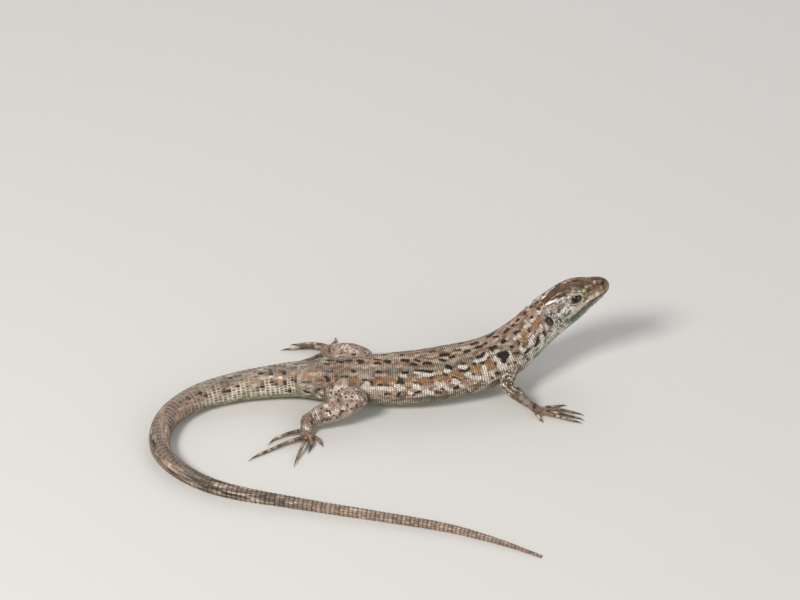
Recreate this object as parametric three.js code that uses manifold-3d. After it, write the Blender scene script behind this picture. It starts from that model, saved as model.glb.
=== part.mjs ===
// A wall lizard at life size, resting on the floor with its head raised and its tail swept round.
// Millimetres, +Z up. The body heads along +X, and its left side faces +Y.
// The body is one loft along the spine and each limb a chain of lofts, parted by thin cuts.
import * as THREE from "three";
import { mergeVertices } from "three/addons/utils/BufferGeometryUtils.js";
import Module from "manifold-3d";

const wasm = await Module();
wasm.setup();

// ---------------------------------------------------------------- driving dimensions

const GAP = 0.3; // between two neighbouring nodes
const FLAT_DEPTH = 0.08; // how much of a resting piece the floor flattens
const BODY_SIDES = 24; // facets round the head and trunk
const TAIL_SIDES = 14;
const LIMB_SIDES = 10;
const DIGIT_SIDES = 6;
const RING_STEP = 2.5; // between two rings of the trunk
const HEAD_RING_STEP = 1.0;
const TAIL_RING_STEP = 3.4;

const SNOUT_TO_VENT = 65;
const NECK_START = 17; // each length is measured from the snout, along the spine
const TRUNK_START = 24.5;
const TAIL_ENDS = [77, 90, 102, 115, 132, 152, 172]; // where each length of tail ends but the last

const EYE_RADIUS = 1.4;
const EYE = { along: 6.85, side: 2.25, up: 1.25 }; // centre, in the head's own directions
const MOUTH_CORNER = 10.8; // along the head
// The ear lies this many degrees round from the widest place of the side, towards the back.
const EAR = { along: 15.25, turn: 31, halfLength: 0.8, halfHeight: 1.1, depth: 0.55 };

// The spine, from the snout to the tip of the tail. The tail rests on the floor from REST_START on,
// so its heights there follow from its thickness.
const SPINE = [
  [45.9, 27.8, 19.0],
  [40.2, 28.2, 15.9],
  [35.0, 27.2, 12.6],
  [31.9, 25.4, 10.6],
  [28.4, 22.4, 8.7],
  [24.2, 19.6, 7.0],
  [19.6, 17.7, 6.0],
  [14.2, 16.4, 5.4],
  [8.0, 15.1, 5.0],
  [2.7, 14.6, 4.85],
  [-2.4, 14.6, 4.65],
  [-8.4, 14.8, 4.35],
  [-12.9, 15.2, 4.1],
  [-16.6, 15.9, 3.7],
  [-22.7, 15.7, 3.3],
  [-30.7, 14.0, 3.0],
  [-37.9, 10.6, 2.7],
  [-42.9, 4.3, 2.3],
  [-43.4, -4.2, 1.9],
  [-39.0, -10.9, 1.7],
  [-31.0, -16.1, 1.5],
  [-15.4, -20.3, 1.2],
  [-0.9, -23.7, 1.0],
  [13.0, -27.2, 0.8],
  [22.5, -30.9, 0.6],
  [30.2, -34.8, 0.4],
];
const REST_START = 75;
const REST_BLEND = 6; // the tail comes down to the floor over this length

// Half-width, height above the spine, depth below it, and how square the section is (2 is round).
const SECTION = [
  { s: 0, wide: 0.35, up: 0.3, down: 0.3, square: 2 },
  { s: 0.25, wide: 1.15, up: 0.95, down: 1.0, square: 2.1 },
  { s: 0.8, wide: 1.75, up: 1.5, down: 1.45, square: 2.3 },
  { s: 2, wide: 2.35, up: 1.95, down: 2.0, square: 2.6 },
  { s: 4, wide: 3.0, up: 2.35, down: 2.6, square: 3 },
  { s: 7, wide: 3.8, up: 3.25, down: 3.25, square: 3.2 },
  { s: 10, wide: 4.15, up: 3.55, down: 3.85, square: 2.9 },
  { s: 13, wide: 4.3, up: 3.65, down: 4.3, square: 2.5 },
  { s: 16, wide: 4.3, up: 3.9, down: 4.5, square: 2.3 },
  { s: 20, wide: 4.4, up: 4.2, down: 4.6, square: 2.2 },
  { s: 25, wide: 5.0, up: 4.5, down: 4.6, square: 2.2 },
  { s: 31, wide: 5.6, up: 4.65, down: 4.75, square: 2.2 },
  { s: 38, wide: 5.95, up: 4.75, down: 4.95, square: 2.25 },
  { s: 46, wide: 5.95, up: 4.8, down: 5.0, square: 2.25 },
  { s: 54, wide: 5.4, up: 4.6, down: 4.7, square: 2.25 },
  { s: 60, wide: 4.7, up: 4.25, down: 4.3, square: 2.2 },
  { s: 65, wide: 4.1, up: 3.9, down: 3.9, square: 2.1 },
  { s: 71, wide: 3.6, up: 3.5, down: 3.45, square: 2 },
  { s: 82, wide: 3.0, up: 2.95, down: 2.9, square: 2 },
  { s: 95, wide: 2.45, up: 2.4, down: 2.4, square: 2 },
  { s: 105, wide: 2.1, up: 2.05, down: 2.05, square: 2 },
  { s: 118, wide: 1.65, up: 1.6, down: 1.6, square: 2 },
  { s: 138, wide: 1.15, up: 1.15, down: 1.15, square: 2 },
  { s: 152, wide: 1.0, up: 0.98, down: 0.98, square: 2 },
  { s: 170, wide: 0.84, up: 0.82, down: 0.82, square: 2 },
  { s: 184, wide: 0.46, up: 0.46, down: 0.46, square: 2 },
  { s: 190, wide: 0.27, up: 0.27, down: 0.27, square: 2 },
];

// The limbs: each joint's place, then each digit from its knuckle to the root of its claw, then the
// claw's tip. The right side is the one that faces -Y.
const LIMBS = {
  right: {
    arm: {
      joints: [[27.2, 18.2, 6.6], [25.0, 12.3, 4.9], [29.8, 9.9, 1.7], [32.0, 9.1, 0.58]],
      digits: [
        [[31.9, 9.9, 0.75], [34.2, 10.8, 0.5], [36.0, 11.4, 0.23], [37.4, 11.8, 0.12]],
        [[32.4, 9.4, 0.8], [36.0, 9.6, 0.65], [38.8, 9.2, 0.23], [40.8, 8.3, 0.12]],
        [[32.6, 9.0, 0.8], [36.1, 8.3, 0.6], [39.0, 7.6, 0.23], [40.7, 6.7, 0.12]],
        [[32.4, 8.6, 0.8], [35.6, 7.4, 0.6], [38.4, 6.5, 0.23], [40.2, 5.7, 0.12]],
        [[31.0, 8.7, 0.7], [31.5, 7.6, 0.5], [31.9, 6.9, 0.23], [32.3, 6.0, 0.12]],
      ],
    },
    leg: {
      joints: [[-9.9, 13.0, 4.3], [-4.9, 7.1, 5.2], [-14.7, 4.1, 2.1], [-15.0, 1.2, 0.6]],
      digits: [
        [[-14.2, 1.3, 0.75], [-12.5, 0.1, 0.5], [-12.0, -0.7, 0.25], [-11.5, -1.7, 0.12]],
        [[-14.4, 0.9, 0.75], [-13.7, -1.2, 0.6], [-14.1, -2.5, 0.25], [-14.4, -3.9, 0.12]],
        [[-14.7, 0.7, 0.8], [-15.4, -2.2, 1.25], [-16.5, -5.6, 0.5], [-17.1, -8.2, 0.12]],
        [[-15.2, 0.5, 0.9], [-18.6, -1.1, 0.7], [-24.2, -4.5, 0.25], [-26.1, -6.3, 0.12]],
        [[-15.6, 2.4, 1.1], [-18.8, 1.5, 0.8], [-21.4, 0.4, 0.25], [-22.4, -1.3, 0.12]],
      ],
    },
  },
  left: {
    arm: {
      joints: [[27.0, 23.8, 6.6], [22.6, 27.6, 4.4], [26.2, 30.6, 1.7], [28.4, 31.4, 0.58]],
      digits: [
        [[27.6, 30.6, 0.75], [29.2, 30.5, 0.5], [30.3, 30.6, 0.23], [31.6, 30.8, 0.12]],
        [[28.1, 31.1, 0.8], [30.7, 31.2, 0.6], [32.6, 31.5, 0.23], [34.4, 31.9, 0.12]],
        [[28.2, 31.5, 0.8], [31.1, 32.3, 0.6], [33.4, 33.0, 0.23], [35.0, 33.8, 0.12]],
        [[28.0, 31.9, 0.8], [30.4, 33.4, 0.6], [32.3, 34.3, 0.23], [33.4, 35.3, 0.12]],
        [[26.6, 31.9, 0.7], [27.2, 33.2, 0.5], [27.7, 34.1, 0.23], [28.3, 35.1, 0.12]],
      ],
    },
    leg: {
      joints: [[-9.6, 17.2, 4.3], [-4.0, 22.1, 4.7], [-11.0, 27.5, 2.1], [-11.9, 30.2, 0.6]],
      digits: [
        [[-11.2, 30.5, 0.7], [-10.0, 32.8, 0.5], [-9.8, 33.9, 0.25], [-9.9, 35.2, 0.12]],
        [[-11.4, 31.0, 0.8], [-13.2, 32.2, 0.6], [-14.9, 32.9, 0.25], [-16.2, 33.3, 0.12]],
        [[-11.8, 31.0, 0.9], [-14.8, 32.2, 0.7], [-17.7, 32.4, 0.25], [-19.3, 32.4, 0.12]],
        [[-12.2, 30.5, 0.9], [-15.4, 30.9, 0.7], [-19.3, 30.9, 0.25], [-21.2, 30.5, 0.12]],
        [[-11.4, 29.2, 1.0], [-14.4, 27.0, 0.75], [-17.6, 26.0, 0.25], [-19.3, 25.6, 0.12]],
      ],
    },
  },
};

// Radii along each limb segment: at its start, at its fullest place and at its end.
const ARM_GIRTH = [
  [1.55, 1.5, 1.2],
  [1.25, 1.4, 0.85],
  [0.85, 1.2, 1.05],
];
const LEG_GIRTH = [
  [2.6, 2.6, 2.1],
  [2.1, 2.5, 1.55],
  [1.45, 1.4, 1.1],
];
const FULLEST = 0.4; // how far along a segment its fullest place lies
const SOLE_FLATNESS = 0.6; // a palm's or sole's height against its width
const ARM_DIGIT = { root: 0.42, tip: 0.28 }; // radii
const LEG_DIGIT = { root: 0.46, tip: 0.3 };
const CLAW = { root: 0.24, tip: 0.07, sides: 5, arch: 0.16 }; // radii, then how high it bows

const FLESH = { color: 0x8d7864, roughness: 0.7, metalness: 0 };
const PALE_FLESH = { color: 0xa9a78f, roughness: 0.65, metalness: 0 };
const EYE_GLOSS = { color: 0x2a120c, roughness: 0.12, metalness: 0 };
const CLAW_HORN = { color: 0x2b221c, roughness: 0.4, metalness: 0 };

// ---------------------------------------------------------------- smooth values along a length

// A smooth value at x through the points (keys[i], values[i]), by cubic Hermite pieces.
function smooth(keys, values, x) {
  const last = keys.length - 1;
  let i = 0;
  while (i < last - 1 && x > keys[i + 1]) i += 1;
  const slope = (j) => {
    const a = Math.max(j - 1, 0);
    const b = Math.min(j + 1, last);
    return (values[b] - values[a]) / (keys[b] - keys[a]);
  };
  const span = keys[i + 1] - keys[i];
  const t = Math.min(Math.max((x - keys[i]) / span, 0), 1);
  const t2 = t * t;
  const t3 = t2 * t;
  return (
    (2 * t3 - 3 * t2 + 1) * values[i] +
    (t3 - 2 * t2 + t) * span * slope(i) +
    (3 * t2 - 2 * t3) * values[i + 1] +
    (t3 - t2) * span * slope(i + 1)
  );
}

const spineKeys = SPINE.map(() => 0);
for (let i = 1; i < SPINE.length; i += 1) {
  const step = new THREE.Vector3(...SPINE[i]).distanceTo(new THREE.Vector3(...SPINE[i - 1]));
  spineKeys[i] = spineKeys[i - 1] + step;
}
const BODY_LENGTH = spineKeys[spineKeys.length - 1];
const sectionKeys = SECTION.map((row) => row.s);

function sectionAt(s, name) {
  return smooth(sectionKeys, SECTION.map((row) => row[name]), s);
}

function spineAt(s) {
  const [x, y, z] = [0, 1, 2].map((axis) => smooth(spineKeys, SPINE.map((p) => p[axis]), s));
  const rest = THREE.MathUtils.smoothstep(s, REST_START - REST_BLEND, REST_START);
  const lying = sectionAt(s, "down") - FLAT_DEPTH;
  return new THREE.Vector3(x, y, THREE.MathUtils.lerp(z, lying, rest));
}

// The directions at a place on the spine: forward to the snout, left, and up out of the back.
function spineFrame(s) {
  const reach = 0.4;
  const ahead = spineAt(Math.max(s - reach, 0));
  const behind = spineAt(Math.min(s + reach, BODY_LENGTH));
  const forward = ahead.sub(behind).normalize();
  const left = new THREE.Vector3(0, 0, 1).cross(forward).normalize();
  const up = forward.clone().cross(left);
  return { origin: spineAt(s), forward, left, up };
}

// ---------------------------------------------------------------- closed meshes and solids

// A closed solid through rings of points, each turning anticlockwise about the way they follow on.
function loft(rings) {
  const sides = rings[0].length;
  const points = rings.flat();
  const index = [];
  for (let r = 0; r + 1 < rings.length; r += 1) {
    for (let i = 0; i < sides; i += 1) {
      const j = (i + 1) % sides;
      const [a, b] = [r * sides + i, r * sides + j];
      const [c, d] = [a + sides, b + sides];
      index.push(a, b, d, a, d, c);
    }
  }
  for (const [r, turn] of [[0, 1], [rings.length - 1, -1]]) {
    const middle = points.length;
    const sum = rings[r].reduce((total, p) => total.add(p), new THREE.Vector3());
    points.push(sum.divideScalar(sides));
    for (let i = 0; i < sides; i += 1) {
      const [a, b] = [r * sides + i, r * sides + ((i + 1) % sides)];
      index.push(...(turn > 0 ? [middle, b, a] : [middle, a, b]));
    }
  }
  const geometry = new THREE.BufferGeometry().setFromPoints(points);
  geometry.setIndex(index);
  return solidOf(geometry);
}

// The solid inside a closed mesh.
function solidOf(geometry) {
  const bare = geometry.clone();
  bare.deleteAttribute("normal");
  bare.deleteAttribute("uv");
  const merged = mergeVertices(bare, 1e-4);
  return new wasm.Manifold(
    new wasm.Mesh({
      numProp: 3,
      vertProperties: merged.attributes.position.array,
      triVerts: new Uint32Array(merged.index.array),
    }),
  );
}

function geometryOf(solid) {
  const mesh = solid.getMesh();
  const geometry = new THREE.BufferGeometry();
  geometry.setAttribute("position", new THREE.BufferAttribute(mesh.vertProperties.slice(), 3));
  geometry.setIndex(new THREE.BufferAttribute(mesh.triVerts.slice(), 1));
  return geometry;
}

// The space on the far side of a plane, as a big box.
function halfSpace(point, normal) {
  const size = 120;
  const box = new THREE.BoxGeometry(size, size, size).translate(0, 0, size / 2);
  const turn = new THREE.Quaternion().setFromUnitVectors(new THREE.Vector3(0, 0, 1), normal);
  box.applyQuaternion(turn).translate(point.x, point.y, point.z);
  return solidOf(box);
}

const underFloor = halfSpace(new THREE.Vector3(0, 0, 0), new THREE.Vector3(0, 0, -1));

// ---------------------------------------------------------------- head, neck, trunk and tail

// A stretch of the body between two lengths along the spine, made fatter by grow.
function bodyStretch(start, end, step, sides, grow = 0) {
  const count = Math.max(2, Math.ceil((end - start) / step));
  const rings = [];
  for (let k = 0; k <= count; k += 1) {
    const t = k / count;
    // Rings crowd together at the snout, where the outline turns fastest.
    const s = start + (end - start) * (start === 0 ? t ** 1.5 : t);
    rings.push(bodyRing(s, sides, grow));
  }
  return loft(rings.reverse());
}

// The place at an angle round the body: 0 lies at its left, and a quarter turn on the back.
function bodyPoint(s, angle, grow = 0) {
  const { origin, left, up } = spineFrame(s);
  const wide = sectionAt(s, "wide") + grow;
  const high = sectionAt(s, Math.sin(angle) > 0 ? "up" : "down") + grow;
  const power = 2 / sectionAt(s, "square");
  const curve = (x) => Math.sign(x) * Math.abs(x) ** power;
  return origin
    .addScaledVector(left, wide * curve(Math.cos(angle)))
    .addScaledVector(up, high * curve(Math.sin(angle)));
}

function bodyRing(s, sides, grow) {
  return Array.from({ length: sides }, (_, i) =>
    bodyPoint(s, (2 * Math.PI * (i + 0.5)) / sides, grow),
  );
}

const headFrame = spineFrame(EYE.along);

// A point of the head, given as its distance back from the snout, out to the left and up.
function headPoint(along, side, up) {
  return headFrame.origin
    .clone()
    .addScaledVector(headFrame.forward, EYE.along - along)
    .addScaledVector(headFrame.left, side)
    .addScaledVector(headFrame.up, up);
}

// A slab across the head, whose outline is seen from the side as [along, up] points.
function headSlab(outline) {
  const reach = 8;
  const shape = new THREE.Shape(outline.map(([along, up]) => new THREE.Vector2(along, up)));
  const slab = new THREE.ExtrudeGeometry(shape, { depth: 2 * reach, bevelEnabled: false });
  slab.translate(0, 0, -reach);
  const back = headFrame.forward.clone().negate();
  const toHead = new THREE.Matrix4().makeBasis(back, headFrame.up, headFrame.left);
  toHead.setPosition(headPoint(0, 0, 0));
  return solidOf(slab.applyMatrix4(toHead));
}

// The space of the lower jaw: all that lies below the line of the mouth, ahead of its corner.
function jawSpace(grow) {
  return headSlab([
    [-2, -0.75 + grow],
    [2.2, -0.85 + grow],
    [5, -0.75 + grow],
    [7.2, -1.15 + grow],
    [MOUTH_CORNER + grow, -1.35 + grow],
    [MOUTH_CORNER + 0.9 + grow, -8],
    [-2, -8],
  ]);
}

function eyeball(side, grow = 0) {
  const centre = headPoint(EYE.along, side * EYE.side, EYE.up);
  const ball = new THREE.SphereGeometry(EYE_RADIUS + grow, 12, 9);
  return solidOf(ball.translate(centre.x, centre.y, centre.z));
}

// The shallow recess of an ear, as an ellipsoid half sunk into the side of the head.
function earRecess(side) {
  const turn = THREE.MathUtils.degToRad(EAR.turn);
  const nearby = 0.1;
  const [below, place, above] = [turn - nearby, turn, turn + nearby].map((angle) =>
    bodyPoint(EAR.along, side > 0 ? angle : Math.PI - angle),
  );
  const { forward } = spineFrame(EAR.along);
  const over = above.sub(below).normalize();
  const out = over.clone().cross(forward);
  const hollow = new THREE.SphereGeometry(1, 10, 6);
  hollow.scale(EAR.halfLength, EAR.depth, EAR.halfHeight);
  hollow.applyMatrix4(new THREE.Matrix4().makeBasis(forward, out, over).setPosition(place));
  return solidOf(hollow);
}

const pieces = {};
const headWhole = bodyStretch(0, NECK_START - GAP / 2, HEAD_RING_STEP, BODY_SIDES);
pieces.head = headWhole
  .subtract(jawSpace(GAP))
  .subtract(eyeball(1, GAP))
  .subtract(eyeball(-1, GAP))
  .subtract(earRecess(1))
  .subtract(earRecess(-1));
pieces.lower_jaw = headWhole.intersect(jawSpace(0));
pieces.eye_left = eyeball(1);
pieces.eye_right = eyeball(-1);
pieces.neck = bodyStretch(NECK_START + GAP / 2, TRUNK_START - GAP / 2, RING_STEP, BODY_SIDES);
pieces.trunk = bodyStretch(
  TRUNK_START + GAP / 2,
  SNOUT_TO_VENT - GAP / 2,
  RING_STEP,
  BODY_SIDES,
);
const tailPlaces = [SNOUT_TO_VENT, ...TAIL_ENDS, BODY_LENGTH];
tailPlaces.slice(1).forEach((end, i) => {
  const start = tailPlaces[i] + GAP / 2;
  const stop = end === BODY_LENGTH ? end : end - GAP / 2;
  pieces["tail_" + (i + 1)] = bodyStretch(start, stop, TAIL_RING_STEP, TAIL_SIDES);
});

// ---------------------------------------------------------------- limbs

// A tapering piece between two joints with round ends: wide across, and flatness times that in height.
function limbSegment(from, to, [startRadius, fullRadius, endRadius], flatness = 1) {
  const along = to.clone().sub(from);
  const length = along.length();
  along.normalize();
  const side = new THREE.Vector3(0, 0, 1).cross(along).normalize();
  const up = along.clone().cross(side);
  const girth = (t) => smooth([0, FULLEST, 1], [startRadius, fullRadius, endRadius], t);
  const rings = [];
  const ring = (place, radius) =>
    Array.from({ length: LIMB_SIDES }, (_, i) => {
      const angle = (2 * Math.PI * (i + 0.5)) / LIMB_SIDES;
      return from
        .clone()
        .addScaledVector(along, place)
        .addScaledVector(side, radius * Math.cos(angle))
        .addScaledVector(up, radius * flatness * Math.sin(angle));
    });
  const capTurns = [20, 55].map(THREE.MathUtils.degToRad); // two rings of each round end
  for (const turn of capTurns) {
    rings.push(ring(-startRadius * Math.cos(turn), startRadius * Math.sin(turn)));
  }
  const steps = 4;
  for (let k = 0; k <= steps; k += 1) rings.push(ring((length * k) / steps, girth(k / steps)));
  for (const turn of capTurns.toReversed()) {
    rings.push(ring(length + endRadius * Math.cos(turn), endRadius * Math.sin(turn)));
  }
  return loft(rings);
}

// A thin tapering tube through a few points. Its rings lean half-way into each bend.
function taperedTube(points, rootRadius, tipRadius, sides) {
  const rings = points.map((point, k) => {
    const before = points[Math.max(k - 1, 0)];
    const after = points[Math.min(k + 1, points.length - 1)];
    const along = after.clone().sub(before).normalize();
    const side = new THREE.Vector3(0, 0, 1).cross(along).normalize();
    const up = along.clone().cross(side);
    const radius = THREE.MathUtils.lerp(rootRadius, tipRadius, k / (points.length - 1));
    return Array.from({ length: sides }, (_, i) => {
      const angle = (2 * Math.PI * (i + 0.5)) / sides;
      return point
        .clone()
        .addScaledVector(side, radius * Math.cos(angle))
        .addScaledVector(up, radius * Math.sin(angle));
    });
  });
  return loft(rings);
}

// Points evenly along the smooth curve through a digit's or claw's few places.
function smoothPath(places, count) {
  return new THREE.CatmullRomCurve3(places).getPoints(count);
}

// Parts a and b where they meet at a joint, by a thin cut half-way through the bend.
function cutAtJoint(a, b, before, joint, after) {
  const intoBend = joint.clone().sub(before).normalize();
  const outOfBend = after.clone().sub(joint).normalize();
  const normal = intoBend.add(outOfBend).normalize();
  const ahead = joint.clone().addScaledVector(normal, -GAP / 2);
  const behind = joint.clone().addScaledVector(normal, GAP / 2);
  return [
    a.subtract(halfSpace(ahead, normal)),
    b.subtract(halfSpace(behind, normal.clone().negate())),
  ];
}

// The trunk and what adjoins it, made fatter by the gap, to cut the roots of the limbs.
const bodyWithGap = bodyStretch(12, 90, RING_STEP, BODY_SIDES, GAP);

// A limb of three segments, its digits joined to the last, and a claw of its own on each digit.
function makeLimb(side, names, { joints, digits }, girth, digitRadius) {
  const [root, bend, ankle, sole] = joints.map((p) => new THREE.Vector3(...p));
  let upper = limbSegment(root, bend, girth[0]).subtract(bodyWithGap);
  let lower = limbSegment(bend, ankle, girth[1]);
  [upper, lower] = cutAtJoint(upper, lower, root, bend, ankle);
  let foot = limbSegment(ankle, sole, girth[2], SOLE_FLATNESS);
  [lower, foot] = cutAtJoint(lower, foot, bend, ankle, sole);
  digits.forEach((places, i) => {
    const points = places.map((p) => new THREE.Vector3(...p));
    const clawTip = points.pop();
    const path = smoothPath(points, 4);
    const { root: thick, tip: thin } = digitRadius;
    foot = foot.add(taperedTube(path, thick, thin, DIGIT_SIDES));
    const end = path[path.length - 1];
    const ahead = end.clone().sub(path[path.length - 2]).normalize();
    const clawRoot = end.clone().addScaledVector(ahead, GAP);
    const crown = clawRoot.clone().lerp(clawTip, 0.5);
    crown.z += CLAW.arch;
    const claw = taperedTube([clawRoot, crown, clawTip], CLAW.root, CLAW.tip, CLAW.sides);
    pieces["claw_" + names.digits + "_" + side + "_" + (i + 1)] = claw;
  });
  pieces[names.upper + "_" + side] = upper;
  pieces[names.lower + "_" + side] = lower;
  pieces[names.foot + "_" + side] = foot;
}

const ARM_NAMES = { upper: "upper_arm", lower: "forearm", foot: "hand", digits: "finger" };
const LEG_NAMES = { upper: "thigh", lower: "shank", foot: "foot", digits: "toe" };
for (const [side, { arm, leg }] of Object.entries(LIMBS)) {
  makeLimb(side, ARM_NAMES, arm, ARM_GIRTH, ARM_DIGIT);
  makeLimb(side, LEG_NAMES, leg, LEG_GIRTH, LEG_DIGIT);
}

// ---------------------------------------------------------------- the finished group

function materialFor(name) {
  if (name.startsWith("eye")) return EYE_GLOSS;
  if (name.startsWith("claw")) return CLAW_HORN;
  if (name === "lower_jaw") return PALE_FLESH;
  return FLESH;
}

const lizard = new THREE.Group();
for (const [name, solid] of Object.entries(pieces)) {
  const resting = solid.subtract(underFloor);
  const material = new THREE.MeshStandardMaterial(materialFor(name));
  const mesh = new THREE.Mesh(geometryOf(resting), material);
  mesh.name = name;
  lizard.add(mesh);
}

export default lizard;
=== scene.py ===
"""The wall lizard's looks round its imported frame: one skin, its scales and shields, the eyes and the claws.

Shapes are worked out in millimetres, in the part's own frame, and turned to metres as each mesh is made.
A place on the body is (s, u): its length from the snout along the spine, and its share of the way
round, from 0 along the middle of the back through 0.25 on the right side to 0.5 under the belly.
"""
import math
from types import SimpleNamespace

import bmesh
import bpy
import numpy as np
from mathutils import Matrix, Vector
from mathutils.bvhtree import BVHTree
from mathutils.kdtree import KDTree


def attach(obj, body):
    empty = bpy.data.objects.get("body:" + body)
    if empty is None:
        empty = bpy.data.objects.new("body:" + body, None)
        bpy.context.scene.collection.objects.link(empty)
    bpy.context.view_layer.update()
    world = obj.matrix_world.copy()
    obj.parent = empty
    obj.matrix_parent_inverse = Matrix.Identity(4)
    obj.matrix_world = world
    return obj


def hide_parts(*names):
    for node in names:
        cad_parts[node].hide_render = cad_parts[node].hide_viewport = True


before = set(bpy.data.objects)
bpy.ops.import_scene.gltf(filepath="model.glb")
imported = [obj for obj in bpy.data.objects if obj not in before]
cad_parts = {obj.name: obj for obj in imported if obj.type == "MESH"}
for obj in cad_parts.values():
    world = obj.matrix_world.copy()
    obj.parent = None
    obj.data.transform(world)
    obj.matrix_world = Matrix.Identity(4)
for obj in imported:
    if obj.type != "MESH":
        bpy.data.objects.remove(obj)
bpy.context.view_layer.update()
MM = 0.001
chance = np.random.default_rng(7)

# ---------------------------------------------------------------- camera

PICTURE = (800, 600)
CAMERA_PITCH = math.radians(35)  # how far it looks down
CAMERA_TARGET = np.array([3.7, 49.1, 0.0])
CAMERA_DISTANCE = 536.0
LENS, SENSOR = 112.5, 36.0
FOCAL = PICTURE[0] * LENS / SENSOR  # the lens's length in the picture's pixels
SIGHT = np.array([0, math.cos(CAMERA_PITCH), -math.sin(CAMERA_PITCH)])
SIGHT_UP = np.array([0, math.sin(CAMERA_PITCH), math.cos(CAMERA_PITCH)])
CAMERA_PLACE = CAMERA_TARGET - CAMERA_DISTANCE * SIGHT


def pixels(points):
    """Where points show in the picture."""
    away = points - CAMERA_PLACE
    zoom = FOCAL / (away @ SIGHT)
    return np.stack([PICTURE[0] / 2 + zoom * away[..., 0], PICTURE[1] / 2 - zoom * (away @ SIGHT_UP)], -1)


# ---------------------------------------------------------------- the body's form, as the CAD has it

SPINE = np.array([
    [45.9, 27.8, 19.0], [40.2, 28.2, 15.9], [35.0, 27.2, 12.6], [31.9, 25.4, 10.6], [28.4, 22.4, 8.7],
    [24.2, 19.6, 7.0], [19.6, 17.7, 6.0], [14.2, 16.4, 5.4], [8.0, 15.1, 5.0], [2.7, 14.6, 4.85],
    [-2.4, 14.6, 4.65], [-8.4, 14.8, 4.35], [-12.9, 15.2, 4.1], [-16.6, 15.9, 3.7], [-22.7, 15.7, 3.3],
    [-30.7, 14.0, 3.0], [-37.9, 10.6, 2.7], [-42.9, 4.3, 2.3], [-43.4, -4.2, 1.9], [-39.0, -10.9, 1.7],
    [-31.0, -16.1, 1.5], [-15.4, -20.3, 1.2], [-0.9, -23.7, 1.0], [13.0, -27.2, 0.8], [22.5, -30.9, 0.6],
    [30.2, -34.8, 0.4],
])
REST_START, REST_BLEND, FLAT_DEPTH = 75, 6, 0.08
# Length along the spine, half-width, height above it, depth below it, and how square the section is.
SECTION = np.array([
    [0, 0.35, 0.3, 0.3, 2], [0.25, 1.15, 0.95, 1.0, 2.1], [0.8, 1.75, 1.5, 1.45, 2.3],
    [2, 2.35, 1.95, 2.0, 2.6], [4, 3.0, 2.35, 2.6, 3], [7, 3.8, 3.25, 3.25, 3.2],
    [10, 4.15, 3.55, 3.85, 2.9], [13, 4.3, 3.65, 4.3, 2.5], [16, 4.3, 3.9, 4.5, 2.3],
    [20, 4.4, 4.2, 4.6, 2.2], [25, 5.0, 4.5, 4.6, 2.2], [31, 5.6, 4.65, 4.75, 2.2],
    [38, 5.95, 4.75, 4.95, 2.25], [46, 5.95, 4.8, 5.0, 2.25], [54, 5.4, 4.6, 4.7, 2.25],
    [60, 4.7, 4.25, 4.3, 2.2], [65, 4.1, 3.9, 3.9, 2.1], [71, 3.6, 3.5, 3.45, 2], [82, 3.0, 2.95, 2.9, 2],
    [95, 2.45, 2.4, 2.4, 2], [105, 2.1, 2.05, 2.05, 2], [118, 1.65, 1.6, 1.6, 2],
    [138, 1.15, 1.15, 1.15, 2], [152, 1.0, 0.98, 0.98, 2], [170, 0.84, 0.82, 0.82, 2],
    [184, 0.46, 0.46, 0.46, 2], [190, 0.27, 0.27, 0.27, 2],
])
SNOUT_TO_VENT = 65.0
COAT = 0.13  # how deep the skin lies inside the CAD, which leaves room for the scales
EYE_RADIUS, EYE_ALONG, EYE_SIDE, EYE_UP = 1.4, 6.85, 2.25, 1.25
EYE_TILT = math.radians(22)  # the eyes look out and this much up
ORBIT_LONG, ORBIT_UP, ORBIT_DOWN = 1.6, 0.98, 1.42  # the hollow's reach from the eye's axis each way
EAR_ALONG, EAR_UP, EAR_LONG, EAR_HIGH = 15.35, 2.2, 0.95, 1.05
NOSTRIL_ALONG, NOSTRIL_UP = 0.62, 1.0
RELIEF_END = 24  # behind this length the sections have no relief

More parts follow.
